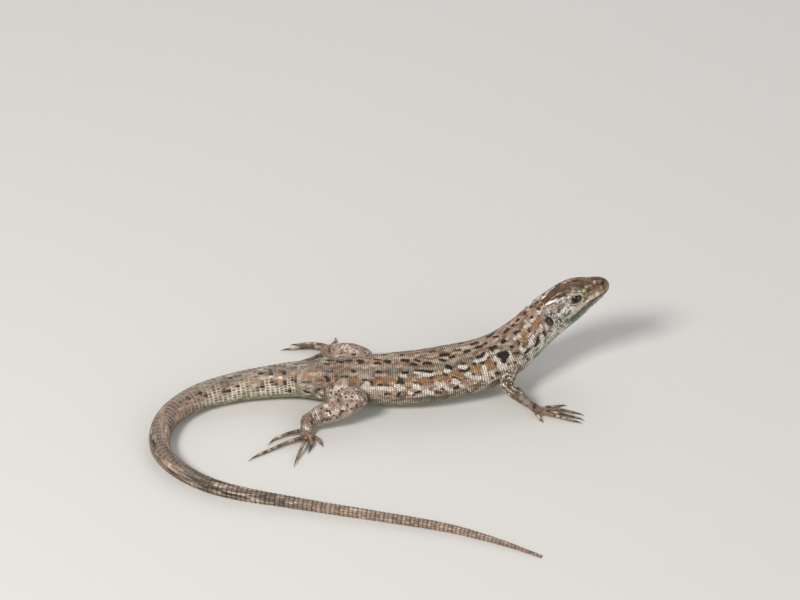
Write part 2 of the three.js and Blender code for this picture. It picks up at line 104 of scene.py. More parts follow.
LIMBS = {
    "arm_right": (
        [[27.2, 18.2, 6.6], [25.0, 12.3, 4.9], [29.8, 9.9, 1.7], [32.0, 9.1, 0.58]],
        [
            [[31.9, 9.9, 0.75], [34.2, 10.8, 0.5], [36.0, 11.4, 0.23], [37.4, 11.8, 0.12]],
            [[32.4, 9.4, 0.8], [36.0, 9.6, 0.65], [38.8, 9.2, 0.23], [40.8, 8.3, 0.12]],
            [[32.6, 9.0, 0.8], [36.1, 8.3, 0.6], [39.0, 7.6, 0.23], [40.7, 6.7, 0.12]],
            [[32.4, 8.6, 0.8], [35.6, 7.4, 0.6], [38.4, 6.5, 0.23], [40.2, 5.7, 0.12]],
            [[31.0, 8.7, 0.7], [31.5, 7.6, 0.5], [31.9, 6.9, 0.23], [32.3, 6.0, 0.12]],
        ],
    ),
    "leg_right": (
        [[-9.9, 13.0, 4.3], [-4.9, 7.1, 5.2], [-14.7, 4.1, 2.1], [-15.0, 1.2, 0.6]],
        [
            [[-14.2, 1.3, 0.75], [-12.5, 0.1, 0.5], [-12.0, -0.7, 0.25], [-11.5, -1.7, 0.12]],
            [[-14.4, 0.9, 0.75], [-13.7, -1.2, 0.6], [-14.1, -2.5, 0.25], [-14.4, -3.9, 0.12]],
            [[-14.7, 0.7, 0.8], [-15.4, -2.2, 1.25], [-16.5, -5.6, 0.5], [-17.1, -8.2, 0.12]],
            [[-15.2, 0.5, 0.9], [-18.6, -1.1, 0.7], [-24.2, -4.5, 0.25], [-26.1, -6.3, 0.12]],
            [[-15.6, 2.4, 1.1], [-18.8, 1.5, 0.8], [-21.4, 0.4, 0.25], [-22.4, -1.3, 0.12]],
        ],
    ),
    "arm_left": (
        [[27.0, 23.8, 6.6], [22.6, 27.6, 4.4], [26.2, 30.6, 1.7], [28.4, 31.4, 0.58]],
        [
            [[27.6, 30.6, 0.75], [29.2, 30.5, 0.5], [30.3, 30.6, 0.23], [31.6, 30.8, 0.12]],
            [[28.1, 31.1, 0.8], [30.7, 31.2, 0.6], [32.6, 31.5, 0.23], [34.4, 31.9, 0.12]],
            [[28.2, 31.5, 0.8], [31.1, 32.3, 0.6], [33.4, 33.0, 0.23], [35.0, 33.8, 0.12]],
            [[28.0, 31.9, 0.8], [30.4, 33.4, 0.6], [32.3, 34.3, 0.23], [33.4, 35.3, 0.12]],
            [[26.6, 31.9, 0.7], [27.2, 33.2, 0.5], [27.7, 34.1, 0.23], [28.3, 35.1, 0.12]],
        ],
    ),
    "leg_left": (
        [[-9.6, 17.2, 4.3], [-4.0, 22.1, 4.7], [-11.0, 27.5, 2.1], [-11.9, 30.2, 0.6]],
        [
            [[-11.2, 30.5, 0.7], [-10.0, 32.8, 0.5], [-9.8, 33.9, 0.25], [-9.9, 35.2, 0.12]],
            [[-11.4, 31.0, 0.8], [-13.2, 32.2, 0.6], [-14.9, 32.9, 0.25], [-16.2, 33.3, 0.12]],
            [[-11.8, 31.0, 0.9], [-14.8, 32.2, 0.7], [-17.7, 32.4, 0.25], [-19.3, 32.4, 0.12]],
            [[-12.2, 30.5, 0.9], [-15.4, 30.9, 0.7], [-19.3, 30.9, 0.25], [-21.2, 30.5, 0.12]],
            [[-11.4, 29.2, 1.0], [-14.4, 27.0, 0.75], [-17.6, 26.0, 0.25], [-19.3, 25.6, 0.12]],
        ],
    ),
}
GIRTH = {  # radii of each limb segment at its start, its fullest place and its end
    "arm": [[1.55, 1.5, 1.2], [1.25, 1.4, 0.85], [0.85, 1.2, 1.05]],
    "leg": [[2.6, 2.6, 2.1], [2.1, 2.5, 1.55], [1.45, 1.4, 1.1]],
}
FULLEST = 0.4
FLATNESS = (1.0, 1.0, 0.6)  # how high each segment is against its width
DIGIT_RADIUS = {"arm": (0.42, 0.28), "leg": (0.46, 0.3)}
LIMB_COAT, DIGIT_COAT = 0.1, 0.07
LIMB_NODES = {"arm": ("upper_arm", "forearm", "hand", "finger"), "leg": ("thigh", "shank", "foot", "toe")}


def smooth(keys, values, x):
    """A smooth value at x through (keys, values), by cubic Hermite pieces."""
    keys, values = np.asarray(keys, float), np.asarray(values, float)
    x = np.clip(x, keys[0], keys[-1])
    i = np.clip(np.searchsorted(keys, x) - 1, 0, len(keys) - 2)
    order = np.arange(len(keys))
    before, after = np.maximum(order - 1, 0), np.minimum(order + 1, len(keys) - 1)
    slope = (values[after] - values[before]) / (keys[after] - keys[before])
    span = keys[i + 1] - keys[i]
    t = (x - keys[i]) / span
    return (
        (2 * t**3 - 3 * t**2 + 1) * values[i]
        + (t**3 - 2 * t**2 + t) * span * slope[i]
        + (3 * t**2 - 2 * t**3) * values[i + 1]
        + (t**3 - t**2) * span * slope[i + 1]
    )


def step(low, high, x):
    """0 below low, 1 above high, and smooth between."""
    t = np.clip((x - low) / (high - low), 0, 1)
    return t * t * (3 - 2 * t)


def unit(vectors):
    return vectors / np.maximum(np.linalg.norm(vectors, axis=-1, keepdims=True), 1e-9)


def lengths_along(places):
    """The length along a line of places at each of them."""
    return np.r_[0, np.cumsum(np.linalg.norm(np.diff(places, axis=0), axis=1))]


def smooth_line(keys, places, x):
    """Places at x along the smooth curve through (keys, places)."""
    return np.stack([smooth(keys, column, x) for column in places.T], -1)


def straight_line(keys, places, x):
    """Places at x along the straight lines through (keys, places)."""
    return np.stack([np.interp(x, keys, column) for column in places.T], -1)


TABLE_STEP = 0.1
SPINE_KEYS = lengths_along(SPINE)
BODY_LENGTH = SPINE_KEYS[-1]


def spine_at(s):
    """The spine's places, which sink until the tail lies on the floor."""
    place = smooth_line(SPINE_KEYS, SPINE, s)
    rest = step(REST_START - REST_BLEND, REST_START, s)
    lying = smooth(SECTION[:, 0], SECTION[:, 3], s) - FLAT_DEPTH
    place[..., 2] += rest * (lying - place[..., 2])
    return place


def make_body_table():
    """The spine's places, directions and section sizes at every TABLE_STEP along it."""
    s = np.append(np.arange(0, BODY_LENGTH, TABLE_STEP), BODY_LENGTH)
    reach = 0.4
    forward = unit(spine_at(np.maximum(s - reach, 0)) - spine_at(np.minimum(s + reach, BODY_LENGTH)))
    left = unit(np.cross([0, 0, 1], forward))
    table = {"origin": spine_at(s), "forward": forward, "left": left, "up": np.cross(forward, left)}
    for column, name in enumerate(["wide", "rise", "fall", "square"], 1):
        table[name] = smooth(SECTION[:, 0], SECTION[:, column], s)
    return table


BODY = make_body_table()


def at(name, s):
    """A value of the body's table at lengths s."""
    values = BODY[name]
    place = np.clip(np.asarray(s, float) / TABLE_STEP, 0, len(values) - 1.001)
    i = place.astype(int)
    t = place - i
    if values.ndim == 2:
        t = t[..., None]
    return values[i] * (1 - t) + values[i + 1] * t


def coat(s):
    """How deep the skin lies under the tips of its scales, which are thinner on a thin tail."""
    return np.minimum(COAT, 0.14 * at("wide", s))


def section_shape(s, angle):
    """A section's half-width and its height toward an angle, and the shares of them it reaches there."""
    cos, sin = np.cos(angle), np.sin(angle)
    power = 2 / at("square", s)
    high = np.where(sin > 0, at("rise", s), at("fall", s))
    return at("wide", s), high, np.sign(cos) * np.abs(cos) ** power, np.sign(sin) * np.abs(sin) ** power


ROUND_STEPS, SHARE_STEPS = 720, 400


def make_round_tables():
    """The length right round the body at each mm along it, and how the share of the way round and the
    section's own angle go together there, each by the other."""
    lengths = np.arange(0, math.ceil(BODY_LENGTH) + 1.0)
    angles = np.linspace(math.pi / 2, math.pi / 2 + 2 * math.pi, ROUND_STEPS + 1)
    wide, high, across, over = section_shape(lengths[:, None], angles[None])
    run = np.hypot(np.diff(wide * across, axis=1), np.diff(high * over, axis=1))
    run = np.concatenate([np.zeros((len(lengths), 1)), np.cumsum(run, 1)], 1)
    share = run / run[:, -1:]
    even = np.linspace(0, 1, SHARE_STEPS + 1)
    return run[:, -1], share, np.stack([np.interp(even, row, angles) for row in share])


GIRTHS, SHARE_TABLE, ANGLE_TABLE = make_round_tables()


def look_up(table, row, column):
    """A value of a table between its rows and columns."""
    row = np.clip(row, 0, table.shape[0] - 1.001)
    column = np.clip(column, 0, table.shape[1] - 1.001)
    i, j = row.astype(int), column.astype(int)
    a, b = row - i, column - j
    if table.ndim == 3:
        a, b = a[..., None], b[..., None]
    top = table[i, j] * (1 - b) + table[i, j + 1] * b
    low = table[i + 1, j] * (1 - b) + table[i + 1, j + 1] * b
    return top * (1 - a) + low * a


def angle_of(s, u):
    """The section's own angle at a share of the way round."""
    return look_up(ANGLE_TABLE, s, (u % 1.0) * SHARE_STEPS)


def share_of(s, angle):
    """The share of the way round at a section's own angle."""
    turned = (angle - math.pi / 2) % (2 * math.pi)
    return look_up(SHARE_TABLE, s, turned / (2 * math.pi) * ROUND_STEPS)


def girth(s):
    """The length right round the body."""
    return np.interp(s, np.arange(len(GIRTHS)), GIRTHS)


def mouth(s):
    """The height of the line between the lips."""
    return np.interp(s, [0, 2.2, 5, 7.2, 10.8], [-0.62, -0.74, -0.66, -1.0, -1.22])


def orbit_reach(s, side, up):
    """How far a place lies from the axis of the nearest eye. 1 is the edge of the hollow round it."""
    ahead, out, over = s - EYE_ALONG, side - EYE_SIDE, up - EYE_UP
    along = out * math.cos(EYE_TILT) + over * math.sin(EYE_TILT)
    rise = over * math.cos(EYE_TILT) - out * math.sin(EYE_TILT)
    reach = np.hypot(ahead / ORBIT_LONG, rise / np.where(rise > 0, ORBIT_UP, ORBIT_DOWN))
    return np.where(along > 0, reach, 9.0)


def ear_reach(s, up):
    """How far a place lies from the middle of the ear. 1 is the edge of its hollow."""
    return np.hypot((s - EAR_ALONG) / EAR_LONG, (up - EAR_UP) / EAR_HIGH)


def relief(s, side, up):
    """How far the skin of the head and neck stands out from its plain sections, or in, below zero."""
    hollow = 0.62 * (1 - step(0.55, 1.0, orbit_reach(s, side, up)))
    brow = 0.13 * np.exp(-(((s - 7.0) / 1.7) ** 2) - ((side - 1.9) / 0.9) ** 2) * step(1.6, 2.2, up)
    ear = 0.5 * (1 - step(0.45, 1.0, ear_reach(s, up))) * step(2.1, 2.7, side)
    ear_rim = 0.08 * np.exp(-(((ear_reach(s, up) - 1.25) / 0.25) ** 2)) * step(2.1, 2.7, side)
    bridle = 0.14 * np.exp(-(((s - 3.9) / 1.2) ** 2) - ((up - 0.75) / 0.55) ** 2)
    lips = 0.13 * np.exp(-(((up - mouth(s)) / 0.1) ** 2)) * (1 - step(10.4, 11.2, s))
    nostril = 0.3 * (1 - step(0.05, 0.2, np.hypot(s - NOSTRIL_ALONG, up - NOSTRIL_UP)))
    fold = 0.16 * np.exp(-(((s - 20.9) / 0.45) ** 2)) * (1 - step(-2.0, 0.5, up))
    return brow + ear_rim - hollow - ear - bridle - lips - nostril - fold


def section_point(s, angle, lift, shaped=True):
    """The points at an angle on the body's sections, lifted off the skin."""
    s, angle, lift = np.broadcast_arrays(s, angle, lift)
    wide, high, across, over = section_shape(s, angle)
    wide, high = wide - coat(s), high - coat(s)
    if shaped:
        head = s < RELIEF_END
        out = np.zeros(s.shape)
        out[head] = relief(s[head], np.abs(wide * across)[head], (high * over)[head])
        lift = lift + out
    left = ((wide + lift) * across)[..., None] * at("left", s)
    up = ((high + lift) * over)[..., None] * at("up", s)
    ahead = (lift * (1 - step(0.0, 0.6, s)))[..., None] * at("forward", s)
    return at("origin", s) + left + up + ahead


def body_point(s, u, lift=0.0):
    """The points at places on the body, lifted off the skin by so many mm."""
    s, u, lift = np.broadcast_arrays(np.asarray(s, float), u, lift)
    return section_point(s, angle_of(s, u), lift)


def body_place(points):
    """Each point's place on the body, (s, u), and how far outside the skin it lies."""
    coarse, batch = 5, 20000
    stops = BODY["origin"][::coarse]
    s = np.zeros(len(points))
    for start in range(0, len(points), batch):
        part = slice(start, start + batch)
        far = ((points[part, None] - stops[None]) ** 2).sum(-1)
        s[part] = far.argmin(1) * coarse * TABLE_STEP
    for _ in range(3):
        ahead = ((points - at("origin", s)) * at("forward", s)).sum(-1)
        s = np.clip(s - ahead, 0, BODY_LENGTH)
    away = points - at("origin", s)
    left, up = (away * at("left", s)).sum(-1), (away * at("up", s)).sum(-1)
    square = at("square", s)
    x = np.abs(left) / (at("wide", s) - coat(s))
    z = np.abs(up) / (np.where(up > 0, at("rise", s), at("fall", s)) - coat(s))
    size = np.maximum((x**square + z**square) ** (1 / square), 1e-6)
    half = square / 2
    angle = np.arctan2(np.sign(up) * z**half, np.sign(left) * x**half)
    out = (size - 1) * np.hypot(left, up) / size
    return s, share_of(s, angle), out


def section_sizes(s, u):
    """How far out to the side and how far up a place on the skin lies from the spine."""
    wide, high, across, over = section_shape(s, angle_of(s, u))
    return (wide - coat(s)) * np.abs(across), (high - coat(s)) * over


# ---------------------------------------------------------------- colours and markings


def tone(red, green, blue):
    """A colour as seen on a screen, from 0 to 255, as light."""
    return (np.array([red, green, blue]) / 255) ** 2.2


# The bands of plain skin, from the middle of the back round to the belly: the share of the way round where
# each begins, its own tone, and the darker and the paler tone of its streaks.
TRUNK_BANDS = [
    (0.0, tone(178, 153, 132), tone(136, 104, 80), tone(216, 194, 174)),
    (0.07, tone(146, 134, 116), tone(116, 101, 84), tone(174, 160, 141)),
    (0.13, tone(168, 134, 100), tone(128, 96, 66), tone(208, 184, 158)),
    (0.195, tone(182, 164, 146), tone(124, 96, 75), tone(226, 212, 196)),
    (0.275, tone(142, 131, 115), tone(108, 96, 81), tone(180, 166, 148)),
    # the band along the belly's edge: its own greenish tone, darkened with painted shade
    (0.315, tone(146, 143, 118), tone(120, 117, 95), tone(172, 169, 146)),
]
NECK_BANDS = [
    (0.0, tone(186, 158, 139), tone(136, 100, 78), tone(228, 210, 194)),
    (0.09, tone(172, 146, 123), tone(118, 88, 66), tone(228, 214, 200)),
    (0.2, tone(208, 199, 186), tone(92, 78, 64), tone(250, 246, 238)),
    (0.3, tone(186, 186, 174), tone(132, 132, 116), tone(218, 218, 208)),
]
TAIL_BANDS = [
    (0.0, tone(132, 114, 101), tone(88, 70, 58), tone(180, 160, 145)),
    (0.085, tone(156, 118, 88), tone(100, 64, 42), tone(222, 200, 178)),
    (0.2, tone(136, 118, 92), tone(84, 70, 52), tone(226, 220, 198)),
    (0.315, tone(166, 162, 126), tone(140, 134, 102), tone(200, 196, 164)),
]
FAR_TAIL_BANDS = [
    (0.0, tone(108, 94, 83), tone(60, 49, 42), tone(174, 154, 138)),
    (0.09, tone(92, 76, 65), tone(40, 32, 27), tone(200, 175, 152)),
    (0.26, tone(96, 83, 71), tone(66, 54, 46), tone(150, 135, 119)),
    (0.36, tone(158, 150, 126), tone(128, 118, 98), tone(184, 176, 152)),
]
NET, FAR_NET = tone(232, 224, 205), tone(180, 158, 142)  # the lines between the tail's scales
TIP = tone(172, 147, 128)
BLACK = tone(36, 27, 21)
BROWN = tone(96, 60, 38)
WHITE = tone(234, 225, 212)
PINK_WHITE = tone(226, 198, 182)
CREAM = tone(226, 218, 188)
OCHRE = tone(172, 131, 88)
RUST = tone(150, 102, 68)
ROSE = tone(182, 132, 110)
OLIVE = tone(150, 136, 82)
BELLY = tone(172, 170, 150)
HEAD_TOP, HEAD_DARK, HEAD_PALE = tone(97, 70, 42), tone(62, 44, 30), tone(134, 102, 66)
SNOUT = tone(116, 88, 66)
LOREAL = tone(128, 106, 76)
TEMPLE, TEMPLE_DARK, TEMPLE_PALE = tone(202, 193, 181), tone(72, 60, 52), tone(246, 242, 235)
MAUVE, EAR_DRUM = tone(178, 144, 133), tone(50, 39, 35)
LIP_FRONT, LIP = tone(144, 130, 100), tone(176, 166, 144)
# the jaw's own grey-green tone, darkened with painted shade as under the head
SHADED_JAW, THROAT = tone(88, 94, 86), tone(170, 170, 159)
LEG, LEG_DARK = tone(178, 154, 138), tone(146, 121, 106)
ARM, ARM_DARK = tone(146, 129, 112), tone(112, 93, 78)
LIMB_PALE, LIMB_UNDER = tone(222, 202, 188), tone(190, 182, 150)
DIGIT, DIGIT_DARK, DIGIT_PALE = tone(134, 110, 89), tone(62, 47, 38), tone(184, 160, 136)


def mixed(first, second, weight):
    """The first colour turned toward the second, by a weight at each place."""
    return first + (second - first) * np.asarray(weight)[..., None]


def layered(tint, *layers):
    """A tint with colours laid over it in turn, each by its share."""
    for colour, share in layers:
        tint = mixed(tint, colour, share)
    return tint


def noise(points, size, seed=0):
    """Smooth noise from 0 to 1, in lumps of about this size."""
    place = points / size + seed * 13.7
    cell = np.floor(place).astype(np.int64)
    t = place - cell
    t = t * t * (3 - 2 * t)
    total = np.zeros(points.shape[:-1])
    for corner in np.ndindex(2, 2, 2):
        x, y, z = np.moveaxis(cell + corner, -1, 0)
        mess = (x * 73856093) ^ (y * 19349663) ^ (z * 83492791)
        mess = (mess * 2654435761 + 12345) & 0xFFFFFF
        value = ((mess ^ (mess >> 11)) & 0xFFFF) / 0xFFFF
        total += value * np.prod(np.where(corner, t, 1 - t), -1)
    return total


def make_pixel_finder():
    """A function that gives the place on the body, (s, u), that shows at a pixel of the picture."""
    s, u = np.meshgrid(np.arange(0.3, BODY_LENGTH, 0.2), np.arange(0, 1, 1 / 240), indexing="ij")
    points = body_point(s, u)
    nudge = 0.02
    outward = np.cross(body_point(s, u + nudge) - points, body_point(s + nudge, u) - points)
    outward *= np.sign((outward * (points - at("origin", s))).sum(-1))[..., None]
    seen = (outward * (CAMERA_PLACE - points)).sum(-1) > 0
    s, u, spots = s[seen], u[seen], pixels(points[seen])

    def place_at(x, y):
        nearest = ((spots - (x, y)) ** 2).sum(-1).argmin()
        return s[nearest], u[nearest]

    return place_at


# Each mark is a stroke in the picture: its two ends and its width, in pixels.
OLIVE_MARKS = [(347, 381, 352, 382.5, 3.5)]
OCHRE_MARKS = [
    (352, 380, 362, 381.5, 4), (376, 381, 382, 382, 4), (383, 379, 395, 381, 5.5), (405, 381, 411, 381, 3),
    (414, 378, 422, 381, 3.5), (421, 383, 434, 381, 5), (435, 377, 446, 379.5, 3.5),
    (451, 373, 462, 375, 4), (470, 366, 481, 368, 4.5), (478, 371, 480.5, 374, 3),
    (486, 355, 491, 363, 4.5), (489, 364, 491, 370, 3), (517, 340, 516, 345, 4), (520, 338, 526, 334, 5),
    (523, 343, 526, 338, 3.5), (535, 323, 540, 318, 5), (303, 378, 308, 380, 3), (311, 380, 317, 377, 3.5),
    (469, 385.5, 471, 386, 2),
]
RUST_MARKS = [
    (370, 380, 376, 380.5, 4.5), (487, 357, 490, 362, 3), (517, 341, 516, 344, 3),
    (424, 382.5, 429, 382, 2.5), (386, 379.5, 391, 380.5, 2.5), (454, 373.5, 459, 374.5, 2),
]
ROSE_MARKS = [
    (445, 381, 450, 381.5, 3), (470, 372, 476, 373, 2.5), (466, 382, 471, 382, 3),
    (531, 330, 535, 327, 3.5), (515, 363, 518, 365, 3.5),
]
PALE_MARKS = [
    (352, 374.8, 357, 374, 2.2), (360, 376, 370, 376, 3), (377, 375, 383, 375, 2.6),
    (505.5, 344, 511, 344.5, 3), (539.5, 312, 542.5, 306, 2.4), (309, 386, 315, 388, 4),
]
WHITE_MARKS = [
    (367, 383.5, 367, 388, 4.5), (364, 387, 369, 388.5, 4.5), (351, 387, 359, 388, 3.5),
    (372, 387.5, 378, 388.5, 2.5), (380, 388, 386, 388, 4), (386, 389, 391, 389, 3),
    (396.5, 386, 399, 389, 4.5), (401.5, 375, 405.5, 376, 3), (416, 373, 422, 373.3, 2),
    (424.5, 374.5, 431.5, 374.5, 3), (414.5, 386, 419.5, 388, 5), (416.5, 384.5, 417.5, 384.5, 2.5),
    (400, 388, 402, 388, 3), (409, 393, 413, 394, 2.5), (425, 391, 432, 393, 3.5),
    (436.5, 383.5, 442.5, 385, 3.5), (444.5, 370.8, 450, 371.3, 2.4), (460, 367.2, 465.5, 367.5, 3.2),
    (466.5, 374, 470, 374.5, 4), (453.5, 381, 458, 382, 4.5), (472, 377, 478, 378, 3.5),
    (446, 388, 451, 390, 3), (459.5, 385, 463, 386.5, 3), (468.5, 389, 470, 391, 1),
    (475, 361, 479, 361.5, 2.6), (479, 360.5, 485, 359, 2.4), (485, 359, 487.5, 353.5, 2.4),
    (492.5, 352.5, 498, 351, 2.6), (495.5, 358, 499, 366, 3.6), (498, 360, 501, 368, 2.5),
    (484, 367, 486, 379, 3.8), (491, 371, 494.5, 377, 1.6), (502.5, 364, 503.5, 369, 2),
    (506, 362, 505.5, 368, 1.5), (509, 352, 511.5, 360, 2.6), (515.5, 339, 519, 336, 2.4),
    (525.5, 327, 528.5, 325.5, 3.6), (531, 321, 534, 318.5, 2.6), (538, 313, 538.6, 313, 3),
    (541, 326, 541, 331, 2), (545.5, 326, 547.5, 329, 2.2), (536, 333, 532, 338, 2.6),
    (532, 338, 529.5, 346, 2.6), (529, 349, 531.5, 360, 1.4), (542, 336, 540, 349, 2.6),
    (521, 348, 524, 350, 2.6), (519.5, 362, 522.5, 363.5, 2), (330, 396, 335, 396, 3.5),
    (322, 391, 323, 393, 3), (331, 391, 334, 391.5, 2.4), (318, 395, 321, 398, 2),
]
BROWN_MARKS = [
    (394.5, 360, 397, 360, 1.4), (397, 362.4, 400, 362.6, 1), (424, 358.5, 430, 359.3, 1.3),
    (436, 391.5, 441, 392.5, 3),
]
BACK_MARKS = [
    (382, 355.4, 385, 355.4, 1.2), (401, 355.3, 403, 355.2, 1.6), (365.5, 356.3, 367.5, 356.5, 0.9),
    (328.5, 361, 332.5, 361, 2), (339, 362, 341.5, 362.3, 3), (347.7, 360.6, 350.3, 360.8, 2.8),
    (358, 361, 361, 361.8, 2.8), (361, 361.8, 363.5, 362.4, 1), (359, 363.6, 360, 363.6, 1.2),
    (375.5, 359.7, 379, 360, 1.4), (376, 363.3, 378, 363, 2), (378, 363.3, 380, 364.3, 1),
    (386.5, 361.8, 388.5, 362.2, 3.4), (404, 360.5, 407.8, 361.3, 3), (326, 364.2, 329, 364.3, 1),
    (415.5, 353.4, 418.8, 353.3, 1.1), (430, 352.2, 434, 351.4, 1.3), (442.3, 355, 448, 354.6, 3.2),
    (449.8, 358, 453.5, 357, 2.2), (454, 351.3, 460, 349.8, 1.4), (459, 344.5, 463.5, 343, 1.2),
    (465.5, 352.2, 469.5, 351, 2.4), (472, 344.6, 476.4, 342.5, 2.4), (411.5, 364.3, 416.5, 364.6, 1.4),
    (415.5, 360, 419.5, 361.5, 1.4), (424, 363.3, 430, 363.3, 2.2), (439.5, 360.2, 445, 360.5, 1.4),
    (484.5, 344.5, 486.5, 343.3, 1.3), (477, 347.9, 481, 346.8, 2.4), (488, 337, 493, 334, 2.6),
    (494.5, 337, 497, 336.8, 2.2), (505.8, 332, 508.5, 329, 2.2), (517, 321, 518.3, 319.8, 1.8),
    (508, 323.5, 510, 322.8, 1), (513.3, 324.8, 512.8, 326, 1.1), (525, 313, 524.5, 314.5, 1.5),
    (520.3, 312.5, 521.3, 311.5, 1), (530.5, 308, 531.5, 306.5, 1.3), (536.5, 303, 537.8, 302.2, 1.2),
    (538.8, 308.7, 538.8, 309.6, 1.8), (542, 304.3, 542.3, 304.7, 1.2), (531.5, 318, 532.2, 316.8, 1.4),
    (503, 342, 504, 340.8, 3.2), (516.5, 332.5, 519.5, 331.5, 2.2), (515.5, 334, 516, 334.2, 1.2),
    (490.5, 348.5, 495, 347, 2.8), (492, 350.5, 492.5, 351, 1.4), (510, 347, 513, 347, 1.8),
]
SIDE_MARKS = [
    (351.3, 371, 354.7, 371.8, 2.2), (377, 372.2, 381.5, 372.3, 2.2), (403, 372.7, 406.5, 372.8, 1.9),
    (332, 371.3, 333, 371.3, 1.4), (345.5, 376.8, 348, 377, 2.2), (335.5, 376.3, 336.5, 376.3, 1),
    (341.5, 377, 342.5, 377, 1.2), (352.7, 384.3, 353.5, 384.3, 1.4), (363, 380, 367.5, 380, 1.3),
    (370.5, 382, 373.5, 385.5, 1.8), (379.5, 384.8, 382.5, 384.8, 1.8), (385, 384.8, 388, 384.8, 1.3),
    (360, 384, 362.5, 383.8, 1), (398.5, 377.5, 403.5, 379.5, 1.6), (396.5, 383, 403, 383, 1.6),
    (399, 380.5, 402, 382, 3), (385, 394, 389, 393.5, 1.6), (398.5, 394, 400, 393, 2),
    (397, 396.5, 398, 396.5, 1.4), (326, 377.5, 327.5, 379.5, 2.6), (447, 366, 451, 367.8, 3.2),
    (415.5, 370.4, 422, 370.6, 1.5), (422, 371, 431, 371.6, 2.2), (443, 373.5, 447, 375, 1.8),
    (461.5, 364.2, 465, 363.4, 1.6), (459.5, 370.6, 466, 371, 2), (466, 371, 469, 368.7, 1.8),
    (431, 378, 433.5, 376.7, 1.8), (452, 376.8, 456, 377.6, 1.3), (456, 377.6, 460.5, 380, 1.3),
    (439, 381, 442, 382.5, 1.2), (450, 381, 451, 381, 1.4), (413.5, 382.7, 419, 382.7, 1.5),
    (419, 382.7, 421.5, 384.8, 1.5), (432, 382.3, 433, 382.3, 1.2), (441, 388.8, 443.5, 389.3, 1.2),
    (454.5, 388, 458.5, 387.5, 2), (457, 385.5, 458, 385.5, 1), (416, 392.5, 419, 391.5, 2),
    (414, 395, 415, 395, 1.6), (473, 374, 474.5, 375, 1.7), (474.3, 363.7, 475.2, 363.9, 1.7),
    (466.5, 389, 468, 391.5, 1.2), (477, 357, 481, 356, 2.4), (481, 356, 484, 353, 3),
    (500.5, 355, 506, 354.5, 6), (503, 357, 504, 361, 4.5), (480.5, 362.5, 484, 363.5, 1.5),
    (480.7, 366, 481.3, 366, 1), (494.5, 363, 495.5, 365.5, 1.8), (488.5, 358, 489.5, 357.5, 1.5),
    (517.5, 341, 519.5, 342, 1.6), (519, 343, 519.2, 344, 1.4), (523.5, 345, 524.2, 347, 1.3),
    (529.5, 331, 529, 328, 1.2), (535.5, 332, 535, 334, 1.4), (526, 352.5, 529, 349.5, 2.4),
    (507.5, 364.5, 508.5, 363.5, 1.5), (497, 372, 498.5, 373.5, 1.8), (491, 377, 492, 378, 1.6),
    (514, 362.5, 515.5, 362, 1.2), (513, 353.5, 519, 353, 0.7), (519, 353, 525, 355, 0.7),
    (525, 355, 527.5, 359, 0.7), (543, 332, 546, 340, 1.2), (548.5, 330.5, 552, 331, 1.4),
    # painted shadow: this last stroke is the shade in the fold between the neck and the forelimb
    (536, 345, 538, 338, 2.6),
]
TAIL_MARKS = [
    (259.5, 373.5, 262.5, 374, 2), (269, 370.3, 269.5, 370.5, 1.4), (271.5, 373.8, 272.5, 374.3, 1.6),
    (282.5, 371, 284, 373.5, 2.4), (235, 376, 239.5, 376.5, 1.6), (248, 374.5, 248.5, 374.5, 1.2),
    (244, 379.7, 244.6, 379.7, 1.2), (230.5, 378.3, 231, 378.3, 1.2), (237.5, 386, 239.5, 387, 2.4),
    (249, 385.5, 251, 387, 2.2), (260.5, 386.5, 264.5, 386.5, 1.4), (261, 383.5, 263, 382.5, 1.2),
    (272.5, 381, 275, 381, 1.2), (272.3, 381, 272.5, 384, 1.4), (273, 384.3, 276.5, 384.3, 1.4),
    (283, 381, 286, 381.3, 1.4), (284, 383.5, 286.5, 383.5, 2), (292.5, 379.5, 295, 381, 2.6),
    (303.5, 382.5, 311, 382, 1.6), (287, 391.5, 287.6, 391.5, 1.8), (290.5, 390.5, 290.5, 391.5, 1.8),
    (294.8, 390.5, 294.8, 391.5, 1.6), (304.5, 391, 308, 392, 2.4), (316, 391, 318.5, 389, 2.2),
    (326, 377, 328, 380, 2.4), (257, 388.8, 257.5, 388.8, 1.2), (224, 388, 226, 388, 1.4),
    (227, 390.5, 231, 390.7, 1.6), (295, 364.5, 299, 365, 1), (306, 361.5, 310, 361, 0.8),
    (200.5, 393.5, 201.5, 393.8, 2), (205, 396, 208, 396.5, 2.4), (212, 391, 212.6, 391, 1.6),
    (215.5, 391.5, 216, 391.5, 1.6), (222, 391, 226, 391.3, 1.4), (195, 398, 198, 401, 2),
    (186, 398, 190, 399, 1.6), (181, 402, 181.5, 402.3, 1.4),
]
